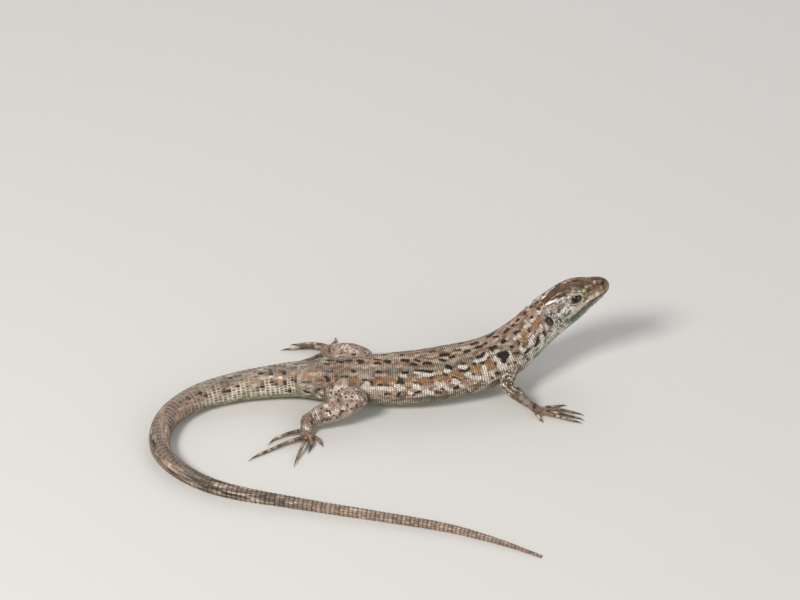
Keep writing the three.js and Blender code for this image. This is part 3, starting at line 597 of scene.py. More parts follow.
# The head's marks in the order they are laid, each group with its colour.
HEAD_MARKS = [
    (tone(160, 150, 138), [(562, 293, 567, 291, 1.6), (552, 298, 559, 294, 1.6)]),
    (tone(128, 120, 102), [(570, 287, 582, 290, 2.2)]),
    (tone(198, 170, 152), [(561, 283, 566, 283, 1.6), (586, 287, 592, 285, 1.4)]),
    (tone(140, 127, 92), [(600, 287, 603, 291, 4)]),
    (LIP, [(590, 298, 598, 293, 4)]),
    (tone(214, 206, 182), [
        (590, 296, 588, 300, 1.6), (588, 300, 586, 305, 1.6), (583, 303, 577, 307, 1.6),
        # the short last stroke here is a painted highlight on the upper lip
        (577, 307, 573, 310, 1.6), (597, 293.5, 597.5, 293.3, 1.6),
    ]),
    (tone(166, 170, 156), [(575, 312.5, 566, 318, 2.2)]),
    (MAUVE, [(551, 310.5, 561, 304.5, 4.5)]),
    (TEMPLE_PALE, [
        (548, 303.5, 556, 300.5, 1.6), (545, 305, 550, 304, 1.4), (566, 306, 561, 313, 4),
        (561, 315, 553, 316, 2), (548, 316, 553, 320, 2), (553, 320, 554, 325, 2), (554, 325, 551, 328, 2),
        (549, 334, 549.5, 334, 3), (594.7, 281.3, 594.7, 283.2, 1.4),
    ]),
    (CREAM, [
        # the first stroke is a pale supratemporal line, brightened with a painted highlight on the parietal's
        # outer edge
        (560, 298.5, 569, 297, 1.2), (572, 294.2, 582, 293.7, 1.2), (573, 291.3, 581, 291, 0.9),
        (584, 292, 584, 289, 1),
    ]),
    (tone(122, 97, 62), [(563, 299.5, 568, 299.7, 1.6)]),
    (tone(120, 72, 34), [(596, 285, 599, 287, 3)]),
    (tone(86, 78, 54), [
        (591, 302, 591, 304, 2.2), (593.5, 288.3, 594, 288.3, 2), (575, 286.5, 579, 286.3, 1.2),
    ]),
    (tone(74, 50, 40), [(598, 279, 606, 279.5, 2.2), (558.5, 302.5, 561.5, 300.5, 1.6)]),
    (BLACK, [
        # painted shade: the first stroke darkens the nostril's opening and the second the slit above the eye
        (602.8, 282.6, 603.1, 282.6, 1.8), (573.5, 292.4, 579, 292.4, 1.1), (573, 280.5, 573.4, 280.6, 1.3),
        (563.5, 282.3, 564, 282.3, 1.2), (566, 284.5, 566.3, 284.5, 1.2), (582, 295, 585, 293.5, 1.6),
        (588.5, 289.8, 589, 289.8, 3), (588, 292.2, 588.4, 292.2, 2), (593, 279.8, 594.8, 279.8, 1.6),
        (575, 314, 571, 317, 0.9), (571, 317, 565, 321, 0.9), (567, 314.5, 567.3, 314.6, 1.8),
        (543.5, 295, 543.9, 295, 1.1), (545.5, 297.8, 546, 297.8, 1.1), (548, 297, 548.4, 297, 1),
        (546, 294, 546.4, 294, 0.9), (551, 305, 553, 304, 1.1), (547, 307.5, 547.4, 307.5, 1.2),
        (549.5, 306.5, 550, 306.5, 1.1), (563, 307, 561, 309.5, 1.3), (561, 309.5, 559.3, 311.7, 1.4),
        (559.3, 311.7, 559.4, 311.8, 1.9), (554, 313, 548, 314.5, 1.2), (567.5, 306.5, 567.7, 306.6, 1.6),
        (556.5, 318, 556.9, 318, 1.2), (557, 322, 557.3, 322, 1.4), (561, 322, 561.3, 322, 1.2),
        (563, 317, 563.3, 317, 1.2), (560.5, 325.5, 560.8, 325.5, 1.2), (557, 328.5, 557.3, 328.5, 1.2),
        (567, 323, 567.3, 323, 1.1), (559.5, 318, 559.8, 318, 1),
    ]),
]
LEG_BLACK_MARKS = [
    (325.5, 410, 328, 411, 1.8), (341, 411.5, 344, 411.2, 2.2), (323, 419, 330, 419, 1.4),
    (334, 393.5, 337, 394.5, 1.8), (324, 396.5, 325, 397.5, 1.6), (329, 397, 330, 399, 1.6),
    (320.5, 409, 322, 408.5, 1.2), (311, 422, 313, 424.5, 1.6), (316, 425, 318.5, 427, 2),
    (346, 391, 349, 392, 1.4), (345.5, 396.5, 345.5, 399.5, 1.4), (351, 401, 352, 402, 2),
    (347, 405, 347.5, 407.5, 1.6), (308, 423.5, 308.3, 424, 1.4), (338, 403, 340, 402, 1),
    (333, 403, 334, 404.5, 1),
]
LEG_WHITE_MARKS = [
    (330, 396, 335, 396, 3.5), (322, 391, 323, 393, 3), (336, 387, 340, 388, 2.5),
    (325, 405.5, 327, 406.5, 2.5), (327, 413, 329, 415, 2.2), (323.5, 421.5, 328, 421.5, 2.2),
    (343, 408, 343.5, 408, 2.5), (331, 391, 334, 391.5, 2.4), (341, 394, 343, 395, 2),
    (317, 417, 319, 418, 2.2), (313, 413, 316, 412, 2), (305, 427, 308, 429, 2.2),
]
ARM_BLACK_MARKS = [
    (508, 372.2, 511, 373, 1.5), (509, 369.5, 511.5, 369.5, 1.1), (506, 376.6, 510, 376.2, 1.1),
    (510, 376, 514, 379.5, 1.5), (514, 379.5, 518, 384, 1.4), (511, 382, 513.5, 384, 2),
    (508.5, 382, 508.8, 382.5, 1.5), (505, 378, 507, 377, 1), (512.5, 390.3, 515, 391.5, 1.1),
    (503, 387, 503.4, 387.2, 1.5), (506.5, 392.5, 509, 395, 1.3), (518, 386, 521, 389, 1.3),
    (524, 392, 527, 395, 1.5), (528, 396, 529.5, 399, 1.8),
]
ARM_BROWN_MARKS = [(508, 385.5, 513, 385.5, 2.4), (507.5, 387, 510, 388, 2)]
ARM_WHITE_MARKS = [
    (502, 380, 503, 375.5, 1.4), (503.5, 374.6, 509, 374, 1.4), (509, 374, 513.5, 376, 1.1),
    (508.5, 378, 512, 380.5, 1.6), (512, 380.5, 516, 385, 1.5), (516, 385, 519, 388, 1.4),
    (501.5, 381, 501.8, 386, 1.4), (504, 384, 505, 386, 1.6), (502.5, 389, 506, 394.5, 1.4),
    (506, 394.5, 507.8, 396.6, 1.4), (508, 368.3, 513, 367.8, 1.2), (509, 371, 516, 370.5, 1.3),
    (511.5, 386.8, 512, 387.2, 1), (515, 387, 516, 388, 1.2), (520, 391, 521, 393, 1.2),
]
PIXEL = 0.2144  # how many mm a pixel shows at the body
MIRROR_SLIP = 0.8  # how far a mark on the hidden side may lie from its partner's place, in mm
STRETCH = (0.8, 1.3)  # how far a mark may narrow or widen where the skin turns from the camera


def shows(place):
    """Whether a place on the body turns toward the camera."""
    point = body_point(*place)
    return (point - at("origin", place[0])) @ (CAMERA_PLACE - point) > 0


def strokes(marks, place_at, slip=MIRROR_SLIP, grow=0.0):
    """The marks' ends as places on the body and their half-widths in mm, and a partner of each, a little
    moved, wherever that is out of the camera's sight."""
    rows = []
    for x0, y0, x1, y1, wide in marks:
        start, end = np.array(place_at(x0, y0)), np.array(place_at(x1, y1))
        around = girth(start[0])
        run = unit(np.array([x1 - x0 + 0.01, y1 - y0]))
        middle, out = np.array([x0 + x1, y0 + y1]) / 2, 1.5 * np.array([-run[1], run[0]])
        spread = (np.array(place_at(*(middle + out))) - place_at(*(middle - out))) * (1, around)
        spread[1] = (spread[1] + around / 2) % around - around / 2
        half = wide / 2 * PIXEL * np.clip(np.hypot(*spread) / (3 * PIXEL), *STRETCH) + grow
        rows.append((*start, *end, half))
        moved = chance.uniform(-slip, slip, 2) / (1, around)
        start, end = start * (1, -1) + moved, end * (1, -1) + moved
        partner_half = half * chance.uniform(0.85, 1.15)
        if not (shows(start) or shows(end)):
            rows.append((*start, *end, partner_half))
    return rows


def signed(turn):
    """A turn round the body as its nearer way round, from -0.5 to 0.5."""
    return (turn + 0.5) % 1.0 - 0.5


def cover(s, u, marks, wobble, soft=0.12):
    """How far each place is covered by any of the marks, from 0 to 1."""
    total = np.zeros(np.shape(s))
    for s0, u0, s1, u1, half in marks:
        near = (s > min(s0, s1) - half - 0.4) & (s < max(s0, s1) + half + 0.4)
        if not near.any():
            continue
        place = np.stack([s[near] - s0, signed(u[near] - u0) * girth(s[near])], -1)
        run = np.array([s1 - s0, signed(u1 - u0) * girth(s0)])
        t = np.clip(place @ run / max(run @ run, 1e-6), 0, 1)
        far = np.linalg.norm(place - t[..., None] * run, axis=-1) - half
        total[near] = np.maximum(total[near], 1 - step(-soft, soft, far + wobble[near]))
    return total


place_at = make_pixel_finder()
BODY_MARKS = [(colour, strength, strokes(marks, place_at, grow=grow)) for colour, strength, grow, marks in (
    (OLIVE, 0.7, 0.0, OLIVE_MARKS), (OCHRE, 0.85, 0.0, OCHRE_MARKS), (RUST, 0.7, 0.0, RUST_MARKS),
    (ROSE, 0.8, 0.0, ROSE_MARKS), (PINK_WHITE, 0.6, 0.05, PALE_MARKS), (WHITE, 1.0, 0.09, WHITE_MARKS),
    (BROWN, 0.85, 0.0, BROWN_MARKS), (BLACK, 1.0, 0.13, BACK_MARKS), (BLACK, 1.0, 0.05, SIDE_MARKS),
    (BLACK, 0.95, 0.13, TAIL_MARKS),
)]
HEAD_PATCHES = [(colour, 0.85, strokes(marks, place_at, 0.12)) for colour, marks in HEAD_MARKS]


def marked(tint, s, u, groups, wobble):
    """A tint with groups of marks laid over it."""
    layers = ((colour, strength * cover(s, u, marks, wobble)) for colour, strength, marks in groups)
    return layered(tint, *layers)


def banded(s, u, bands, long, fine, seed):
    """Plain skin: its bands' tones, streaked in lumps long mm along the body and fine of them to a turn."""
    turned = signed(u)
    place = np.stack([s / long, turned * fine, 0 * s], -1)
    edge = np.abs(turned) + 0.035 * (noise(place, 2.0, seed) - 0.5)
    tones = bands[0][1:]
    for start, *values in bands[1:]:
        share = step(start - 0.012, start + 0.012, edge)
        tones = [mixed(old, new, share) for old, new in zip(tones, values)]
    plain, dark, pale = tones
    return layered(plain, (dark, 0.9 * step(0.5, 0.68, noise(place, 1.0, seed + 1))),
                   (pale, 0.9 * step(0.54, 0.72, noise(place, 1.0, seed + 2))))


def body_tint(s, u):
    """The colour of the trunk's and tail's skin and scales."""
    s, u = np.asarray(s, float), np.asarray(u, float) % 1.0
    neck, trunk = banded(s, u, NECK_BANDS, 1.0, 42, 30), banded(s, u, TRUNK_BANDS, 1.3, 56, 33)
    tail, far_tail = banded(s, u, TAIL_BANDS, 1.1, 46, 36), banded(s, u, FAR_TAIL_BANDS, 2.4, 30, 39)
    tail = layered(tail, (far_tail, step(88, 106, s)), (TIP, 0.6 * step(128, 150, s)))
    tint = layered(neck, (trunk, step(21, 29, s)), (tail, step(58, 68, s)))
    return marked(tint, s, u, BODY_MARKS, 0.3 * (noise(body_point(s, u), 0.5, 2) - 0.5))


# Where the brown top of the head ends, as a share of the way round, by its length from the snout.
CROWN_EDGE = np.array([[0, 0.16], [3, 0.13], [5, 0.105], [9, 0.1], [10.5, 0.06], [12.5, 0.04], [14, 0.02]])


def head_tint(s, u):
    """The colour of the head's shields, granules and skin, with painted shade along the mouth's line and in
    the ear's hollow.
    """
    s, u = np.asarray(s, float), np.asarray(u, float) % 1.0
    side, up = section_sizes(s, u)
    points = body_point(s, u)
    rough, fine, speck = noise(points, 0.9, 6), noise(points, 0.35, 7), noise(points, 0.3, 5)
    run = np.stack([s / 1.3, ((u + 0.5) % 1) * 90, 0 * s], -1)
    streak, light = noise(run, 1.0, 8), noise(run, 1.0, 9)
    near = np.minimum(u, 1 - u)
    crown = layered(
        HEAD_TOP,
        (SNOUT, 1 - step(1.2, 3.2, s)),
        (HEAD_DARK, 0.8 * step(0.5, 0.68, fine)),
        (HEAD_PALE, 0.7 * step(0.58, 0.75, rough)),
        (HEAD_PALE * 1.25, 0.7 * step(0.62, 0.74, light)),
        (HEAD_DARK * 0.5, 0.9 * step(0.57, 0.7, streak)),
    )
    temple = layered(
        TEMPLE,
        (TEMPLE_DARK, 0.9 * step(0.58, 0.72, speck)),
        (TEMPLE_PALE, 0.9 * step(0.48, 0.64, rough) * (1 - 0.7 * step(0.6, 0.7, speck))),
    )
    loreal = mixed(LOREAL, HEAD_DARK, 0.7 * step(0.55, 0.7, fine))
    lip = mixed(LIP_FRONT, LIP, step(2.5, 5.0, s))
    lip = mixed(lip, lip * 0.6, step(0.55, 0.7, fine))
    flank = mixed(loreal, temple, step(6.5, 8.5, s))
    flank = mixed(flank, lip, (1 - step(-0.1, 0.2, up)) * (1 - step(10.5, 11.5, s)))
    # the jaw's tone carries painted shade, and pales to the throat
    jaw = mixed(SHADED_JAW, THROAT, step(0.3, 0.37, near))
    jaw = mixed(jaw, jaw * 0.62, 0.8 * step(0.55, 0.7, fine))
    edge = np.interp(s, *CROWN_EDGE.T)
    tint = layered(
        crown,
        (flank, step(edge - 0.008, edge + 0.008, near + 0.02 * (rough - 0.5))),
        (jaw, (1 - step(-0.1, 0.0, up - mouth(s))) * (1 - step(10.2, 11.5, s))),
        (THROAT, step(0.31, 0.36, near) * step(10, 12, s)),
    )
    lined = step(0.56, 0.68, streak) * step(6, 8, s) * (1 - step(0.14, 0.18, near))
    # painted shade: a dark line in the crease between the lips
    gape = (1 - step(0.04, 0.1, np.abs(up - mouth(s)))) * (1 - step(10.6, 11.4, s)) * step(0.3, 0.6, s)
    # the drum's own dark tone, deepened to black toward the hollow's rim as painted shade
    drum = mixed(EAR_DRUM, BLACK * 0.8, step(0.3, 0.6, ear_reach(s, up)))
    return layered(
        marked(tint, s, u, HEAD_PATCHES, 0.2 * (fine - 0.5)),
        (TEMPLE_DARK * 0.6, 0.8 * lined),
        (BLACK, 0.85 * gape),
        (drum, 1 - step(0.85, 1.1, ear_reach(s, up) + 9 * (side < 2.2))),
    )


def skin_tint(s, u):
    """The colour anywhere on the body, from the snout to the tip of the tail."""
    s, u = np.broadcast_arrays(np.asarray(s, float), np.asarray(u, float))
    above = 1 - step(0.06, 0.13, np.minimum(u % 1.0, -u % 1.0))
    behind = step(14.0 - 2.4 * above, 17.5 - 3.0 * above, s)
    tint = np.zeros((*s.shape, 3))
    head, body = behind < 1, behind > 0
    tint[head] += (1 - behind[head])[:, None] * head_tint(s[head], u[head])
    tint[body] += behind[body][:, None] * body_tint(s[body], u[body])
    return tint


def limb_tint(points, normals, leg, share, turn):
    """The colour of a limb. share runs from 0 at its root to 1 at the sole, and turn once round it."""
    rough, fine = noise(points, 1.3, 9), noise(points, 0.45, 10)
    on_leg = np.asarray(leg)[..., None]
    wave = np.sin(2 * math.pi * 9 * turn + 3 * noise(points, 1.8, 12))
    elbow = step(0.05, 0.15, share) * (1 - step(0.5, 0.62, share)) * np.where(leg, 0.0, 0.55)
    tint = layered(
        np.where(on_leg, LEG, ARM),
        (np.where(on_leg, LEG_DARK, ARM_DARK), step(0.45, 0.7, rough)),
        (LIMB_PALE, 0.8 * step(0.59, 0.73, noise(points, 1.1, 11)) * np.where(leg, 1.0, 0.6)),
        (np.where(wave[..., None] > 0, LIMB_PALE, DIGIT_DARK), elbow * step(0.1, 0.5, np.abs(wave))),
        (DIGIT, 0.6 * step(0.72, 0.85, share)),
        (BLACK, 0.85 * step(0.7, 0.79, fine)),
    )
    for colour, marks in LIMB_STROKES:
        for start, end, half in marks:
            run = end - start
            t = np.clip((points - start) @ run / max(run @ run, 1e-6), 0, 1)
            far = np.linalg.norm(points - start - t[..., None] * run, axis=-1) - half + 0.3 * (fine - 0.5)
            tint = mixed(tint, colour, 0.95 * (1 - step(-0.12, 0.12, far)))
    return mixed(tint, LIMB_UNDER, 0.9 * (1 - step(-0.6, -0.15, normals[..., 2] + 0.3 * (rough - 0.5))))


# ---------------------------------------------------------------- meshes

LOWEST = 0.004  # nothing reaches the floor itself, in mm


def add_piece(name, points, faces, tints=None, map_places=None):
    """A smooth mesh object from points in millimetres. Colours and the map go by point."""
    mesh = bpy.data.meshes.new(name)
    points = np.asarray(points, float).copy()
    points[:, 2] = np.maximum(points[:, 2], LOWEST)
    sizes = np.array([len(face) for face in faces])
    mesh.vertices.add(len(points))
    mesh.vertices.foreach_set("co", (points * MM).ravel())
    mesh.loops.add(int(sizes.sum()))
    corners = np.concatenate([np.asarray(face) for face in faces]).astype(np.int32)
    mesh.loops.foreach_set("vertex_index", corners)
    mesh.polygons.add(len(sizes))
    mesh.polygons.foreach_set("loop_start", np.r_[0, np.cumsum(sizes)[:-1]].astype(np.int32))
    mesh.polygons.foreach_set("use_smooth", np.ones(len(sizes), bool))
    mesh.update(calc_edges=True)
    if tints is not None:
        colours = np.ones((len(points), 4), np.float32)
        colours[:, :3] = np.clip(tints, 0, 1)
        layer = mesh.color_attributes.new(name="Tint", type="FLOAT_COLOR", domain="POINT")
        layer.data.foreach_set("color", colours.ravel())
    if map_places is not None:
        layer = mesh.uv_layers.new(name="OFBake")
        layer.data.foreach_set("uv", np.asarray(map_places, np.float32)[corners].ravel())
    mesh.update()
    piece = bpy.data.objects.new(name, mesh)
    bpy.context.scene.collection.objects.link(piece)
    return piece


def loft(rings):
    """The points and faces of a closed tube through rings, each turning anticlockwise as they go on."""
    rows, sides = rings.shape[:2]
    index = np.arange(rows * sides).reshape(rows, sides)
    following = np.roll(index, -1, 1)
    quads = np.stack([index[:-1], following[:-1], following[1:], index[1:]], -1).reshape(-1, 4)
    return rings.reshape(-1, 3), quads.tolist() + [index[0, ::-1].tolist(), index[-1].tolist()]


def joined(parts):
    """Several (points, faces), or (points, faces, tints), as one."""
    faces, start = [], 0
    for part in parts:
        faces += [[start + i for i in face] for face in part[1]]
        start += len(part[0])
    points, _, *tints = zip(*parts)
    return (np.concatenate(points), faces, *(np.concatenate(values) for values in tints))


def crowned_faces(rows, sides):
    """A scale's triangles: rows of points round it from the rim inward, and one last point on its crown."""
    index = np.arange(rows * sides).reshape(rows, sides)
    following = np.roll(index, -1, 1)
    crown = np.full(sides, rows * sides)
    return np.concatenate([
        np.stack([index[:-1], following[:-1], following[1:]], -1).reshape(-1, 3),
        np.stack([index[:-1], following[1:], index[1:]], -1).reshape(-1, 3),
        np.stack([index[-1], following[-1], crown], -1),
    ])


class Coat:
    """Gathers scales into one mesh, with their colours and each scale's own patch of the map."""

    PATCH = 0.0015  # half a patch's size on the map

    def __init__(self):
        self.points, self.faces, self.tints, self.places, self.count = [], [], [], [], 0

    def add(self, points, faces, tints, map_places):
        self.points.append(points.reshape(-1, 3))
        self.faces.append(faces.reshape(-1, 3) + self.count)
        self.tints.append(tints.reshape(-1, 3))
        self.places.append(map_places.reshape(-1, 2))
        self.count += self.points[-1].shape[0]

    def lay(self, shape, points, tints, roots):
        """Lays one scale of this shape at each root, given every one's points and their tints."""
        number, corners = points.shape[:2]
        faces = shape.faces + (np.arange(number) * corners)[:, None, None]
        tints = np.broadcast_to(tints, points.shape)
        self.add(points, faces, tints, roots[:, None] + self.PATCH * shape.patch)

    def piece(self, name):
        return add_piece(name, *map(np.concatenate, (self.points, self.faces, self.tints, self.places)))


RIM_SHARES = (1.0, 0.7, 0.12, 0.0, 0.0)  # how much each row of a scale's points belongs to its border
KEEL_REACH = 0.35  # the keel's half-width against the scale's own


def scale_shape(sides, rings, squareness=2.0, tilt=0.0, keel=0.0):
    """A scale of half-length and half-width 1. rings holds (size, height) from the rim up to the crown.
    tilt lifts its free edge at the back, and keel raises a ridge along its middle."""
    angles = 2 * math.pi * (np.arange(sides) + 0.5) / sides
    circle = np.stack([np.cos(angles), np.sin(angles)], -1)
    outline = np.sign(circle) * np.abs(circle) ** (2 / squareness)
    places, up, rim, patch = [], [], [], []
    for order, (size, height) in enumerate(rings):
        place = outline * size
        ridge = keel * np.maximum(0, 1 - np.abs(place[:, 0]) / KEEL_REACH)
        places.append(place)
        up.append(height + (height > 0) * (tilt * place[:, 1] + ridge))
        rim.append(np.full(sides, RIM_SHARES[order]))
        patch.append(circle * (1 - order / (len(rings) + 0.5)))
    places, patch = (np.concatenate([*rows, np.zeros((1, 2))]) for rows in (places, patch))
    return SimpleNamespace(
        across=places[:, 0], back=places[:, 1], up=np.append(up, rings[-1][1] * 1.03 + keel),
        rim=np.append(rim, 0.0), patch=patch, faces=crowned_faces(len(rings), sides),
    )


def shaded(shape, tints, gap, vary):
    """Scales' tints, each a little lighter or darker than the next, and gap times as bright at its rim, as
    painted shade between the scales.
    """
    lightness = np.exp(chance.normal(0, vary, (len(tints), 1, 1)))
    return tints * lightness * (1 - (1 - gap) * shape.rim[:, None])


# The map: the trunk and head unrolled at the top, the tail below them, then the digits and the limbs.
# Each part has its own (start, size) along the map and up it.
MAP_ACROSS, TRUNK_UP, TAIL_UP = (0.01, 0.98), (0.36, 0.62), (0.19, 0.15)
LIMB_ACROSS, LIMB_UP, LIMB_STRIDE = (0.01, 0.22), (0.01, 0.115), 0.245
DIGIT_UP, DIGIT_STRIDE = 0.135, 0.0045  # the digits' rows of scutes


def on_map(across, up, x, y):
    """Places on the map from shares x and y of a part's own stretch of it."""
    return np.stack([across[0] + across[1] * x, up[0] + up[1] * y], -1)


def body_map(s, u):
    """Where places on the body lie on the map."""
    s, u = np.asarray(s, float), np.asarray(u, float) % 1.0
    trunk = on_map(MAP_ACROSS, TRUNK_UP, s / SNOUT_TO_VENT, u)
    tail = on_map(MAP_ACROSS, TAIL_UP, (s - SNOUT_TO_VENT) / (BODY_LENGTH - SNOUT_TO_VENT), u)
    return np.where((s > SNOUT_TO_VENT)[..., None], tail, trunk)


def limb_map(order, along, turn, up=LIMB_UP):
    """along and turn run from 0 to 1 down the limb and round it. order is the limb's number."""
    start, size = LIMB_ACROSS
    return on_map((start + LIMB_STRIDE * order, size), up, along, turn)


# ---------------------------------------------------------------- the skin

VOXEL = 0.27
THINNEST = 0.05  # the least radius of a limb's ring
FINE_END = 16.9  # the skin has small faces before this length
ROOT_EASE, JOINT_EASE = {"leg": 4.6, "arm": 3.4}, 2.6  # how far each joint is smoothed


def frame_along(line):
    """The side and up directions of a tube that runs along a line."""
    side = unit(np.cross([0, 0, 1], line))
    return side, np.cross(line, side)


def limb_radius(radii, t):
    """The radius at a share t of a limb's segment, by the radii at its start, fullest place and end."""
    return smooth([0, FULLEST, 1], radii, t)


def limb_rings(start, end, radii, flatness, inset, sides=20):
    """The rings of one segment of a limb, with round ends."""
    length = np.linalg.norm(end - start)
    line = (end - start) / length
    side, up = frame_along(line)
    angles = 2 * math.pi * np.arange(sides) / sides
    bends = np.radians([12, 35, 60])
    stations = [(-radii[0] * math.cos(bend), radii[0] * math.sin(bend)) for bend in bends]
    stations += [(length * t, limb_radius(radii, t)) for t in np.linspace(0, 1, 9)]
    stations += [(length + radii[2] * math.cos(bend), radii[2] * math.sin(bend)) for bend in bends[::-1]]
    rings = []
    for place, radius in stations:
        radius = max(radius - inset, THINNEST)
        high = max(radius * flatness, THINNEST)
        ring = np.cos(angles)[:, None] * radius * side + np.sin(angles)[:, None] * high * up
        rings.append(start + line * place + ring)
    return np.array(rings)


def digit_path(places, count=14):
    """Points evenly along the smooth curve through a digit's knuckle, joint and tip."""
    places = np.asarray(places, float)
    keys = lengths_along(places)
    return smooth_line(keys, places, np.linspace(0, keys[-1], count))


def tube_rings(path, radii, sides, flatness=1.0):
    """The rings of a thin tube along a path."""
    side, up = frame_along(unit(np.gradient(path, axis=0)))
    angles = (2 * math.pi * (np.arange(sides) + 0.5) / sides)[:, None]
    ring = np.cos(angles) * side[:, None] + flatness * np.sin(angles) * up[:, None]
    return path[:, None] + radii[:, None, None] * ring


limbs = []
for order, (limb_name, (joints, digits)) in enumerate(LIMBS.items()):
    kind, hand = limb_name.split("_")
    limbs.append(SimpleNamespace(
        order=order, kind=kind, hand=hand, joints=np.array(joints),
        girths=np.array(GIRTH[kind]), digits=[np.array(d) for d in digits],
        paths=[digit_path(d[:3]) for d in digits], digit_radius=DIGIT_RADIUS[kind],
    ))


def skin_parts():
    """The plain forms that the skin is drawn over."""
    s = np.r_[np.linspace(0, 16, 60) ** 1.5 / 4, np.arange(16.3, BODY_LENGTH, 0.5), BODY_LENGTH]
    angles = 2 * math.pi * np.arange(64) / 64
    body = section_point(s[:, None], angles[None], 0.0, shaped=False)
    parts = [loft(body[::-1])]
    for limb in limbs:
        for k, flatness in enumerate(FLATNESS):
            ends = limb.joints[k : k + 2]
            parts.append(loft(limb_rings(*ends, limb.girths[k], flatness, LIMB_COAT)))
        for path in limb.paths:
            radii = np.linspace(*limb.digit_radius, len(path)) - DIGIT_COAT
            parts.append(loft(tube_rings(path, radii, 12)))
    return parts


def remeshed(parts):
    """The parts as one closed skin of small faces."""
    points, faces = joined(parts)
    mesh = bpy.data.meshes.new("skin_source")
    mesh.from_pydata(points.tolist(), [], faces)
    source = bpy.data.objects.new("skin_source", mesh)
    bpy.context.scene.collection.objects.link(source)
    change = source.modifiers.new("voxels", "REMESH")
    change.mode = "VOXEL"
    change.voxel_size = VOXEL
    bpy.context.view_layer.update()
    made = source.evaluated_get(bpy.context.evaluated_depsgraph_get()).to_mesh()
    count = len(made.vertices)
    flat = np.zeros(count * 3, np.float32)
    made.vertices.foreach_get("co", flat)
    quads = [list(face.vertices) for face in made.polygons]
    bpy.data.objects.remove(source)
    bpy.data.meshes.remove(mesh)
    return flat.reshape(-1, 3).astype(float), quads


def edges_of(quads):
    """Each edge of the four-sided faces once."""
    pairs = np.concatenate([quads[:, [k, (k + 1) % 4]] for k in range(4)])
    pairs.sort(1)
    return np.unique(pairs, axis=0)


def relax(points, edges, weight, rounds):
    """Moves each point toward the middle of its neighbours, as far as its weight says."""
    a, b = edges.T
    degree = np.bincount(np.r_[a, b], minlength=len(points))
    for _ in range(rounds):
        total = np.stack([
            np.bincount(a, points[b, k], len(points)) + np.bincount(b, points[a, k], len(points))
            for k in range(3)
        ], -1)
        points = points + (0.6 * weight)[:, None] * (total / degree[:, None] - points)
    return points


def near_joints(points, kinds, joints, reach):
    """1 at these joints of the arms or legs, falling to 0 at their reach."""
    places = [limb.joints[k] for limb in limbs if limb.kind in kinds for k in joints]
    far = np.min([np.linalg.norm(points - place, axis=1) for place in places], axis=0)
    return 1 - step(0.6 * reach, reach, far)


def near_roots(points):
    return np.maximum(*(near_joints(points, [kind], [0], reach) for kind, reach in ROOT_EASE.items()))


def finer_head(points, quads):
    """The skin with each face of the head split in four."""
    builder = bmesh.new()
    for point in points:
        builder.verts.new(point)
    builder.verts.ensure_lookup_table()
    builder.verts.index_update()
    for face in quads:
        builder.faces.new([builder.verts[i] for i in face])
    s, _, out = body_place(points)
    head = (s < FINE_END) & (np.abs(out) < 0.4)
    fine = [e for e in builder.edges if head[e.verts[0].index] and head[e.verts[1].index]]
    bmesh.ops.subdivide_edges(builder, edges=fine, cuts=1, use_grid_fill=True)
    builder.verts.index_update()
    points = np.array([v.co for v in builder.verts])
    faces = [[v.index for v in f.verts] for f in builder.faces]
    builder.free()
    return points, faces


def make_skin():
    """The skin: the plain forms as one, eased where limbs join, and finer over the head. The head and trunk
    then take their exact form, and the skin never sinks below it near a limb."""
    points, faces = remeshed(skin_parts())
    quads = np.array(faces)
    edges = edges_of(quads)
    points = relax(points, edges, near_roots(points), 26)
    points = relax(points, edges, 0.8 * near_joints(points, ["arm", "leg"], [1, 2], JOINT_EASE), 8)
    points = relax(points, edges, np.full(len(points), 0.5), 2)
    points, faces = finer_head(points, quads)
    s, u, out = body_place(points)
    beyond = np.where(near_roots(points) > 0, out, np.abs(out))
    onto = (1 - step(0.06, 0.18, beyond)) * step(0.1, 0.3, s)
    onto *= 1 - step(BODY_LENGTH - 0.3, BODY_LENGTH - 0.1, s)
    return points + onto[:, None] * (body_point(s, u) - points), faces


skin_points, skin_faces = make_skin()
skin_tree = BVHTree.FromPolygons([Vector(p) for p in skin_points], skin_faces)
skin_s, skin_u, skin_out = body_place(skin_points)


def normals_of(points, faces):
    """The smooth normals of a mesh of triangles and quads."""
    total = np.zeros(points.shape)
    for size in (3, 4):
        group = np.array([f for f in faces if len(f) == size])
        if len(group):
            corners = points[group]
            across = np.cross(corners[:, 2] - corners[:, 0], corners[:, -1] - corners[:, 1])
            for column in group.T:
                np.add.at(total, column, across)
    return unit(total)


skin_normals = normals_of(skin_points, skin_faces)


def limb_place(points):
    """Each point's nearest limb, how far down it lies from 0 to 1, the way the limb runs there, and the
    turn round it from 0 to 1."""
    best = np.full(len(points), 99.0)
    which = np.zeros(len(points), int)
    down, turn = np.zeros(len(points)), np.zeros(len(points))
    line = np.zeros(points.shape)
    for limb in limbs:
        steps = np.diff(limb.joints, axis=0)
        lengths = np.linalg.norm(steps, axis=1)
        for k in range(3):
            away = points - limb.joints[k]
            t = np.clip(away @ steps[k] / lengths[k] ** 2, 0, 1)
            off = away - t[:, None] * steps[k]
            far = np.linalg.norm(off, axis=1) - limb_radius(limb.girths[k], t)
            closer = far < best
            side, up = frame_along(steps[k] / lengths[k])
            best[closer], which[closer], line[closer] = far[closer], limb.order, steps[k] / lengths[k]
            down[closer] = ((lengths[:k].sum() + t * lengths[k]) / lengths.sum())[closer]
            turn[closer] = (np.arctan2(off @ up, off @ side) / (2 * math.pi) % 1.0)[closer]
    return which, down, line, turn


IS_LEG = np.array([limb.kind == "leg" for limb in limbs])
ON_LIMB = 0.07  # how far outside the body's own form the skin of a limb begins


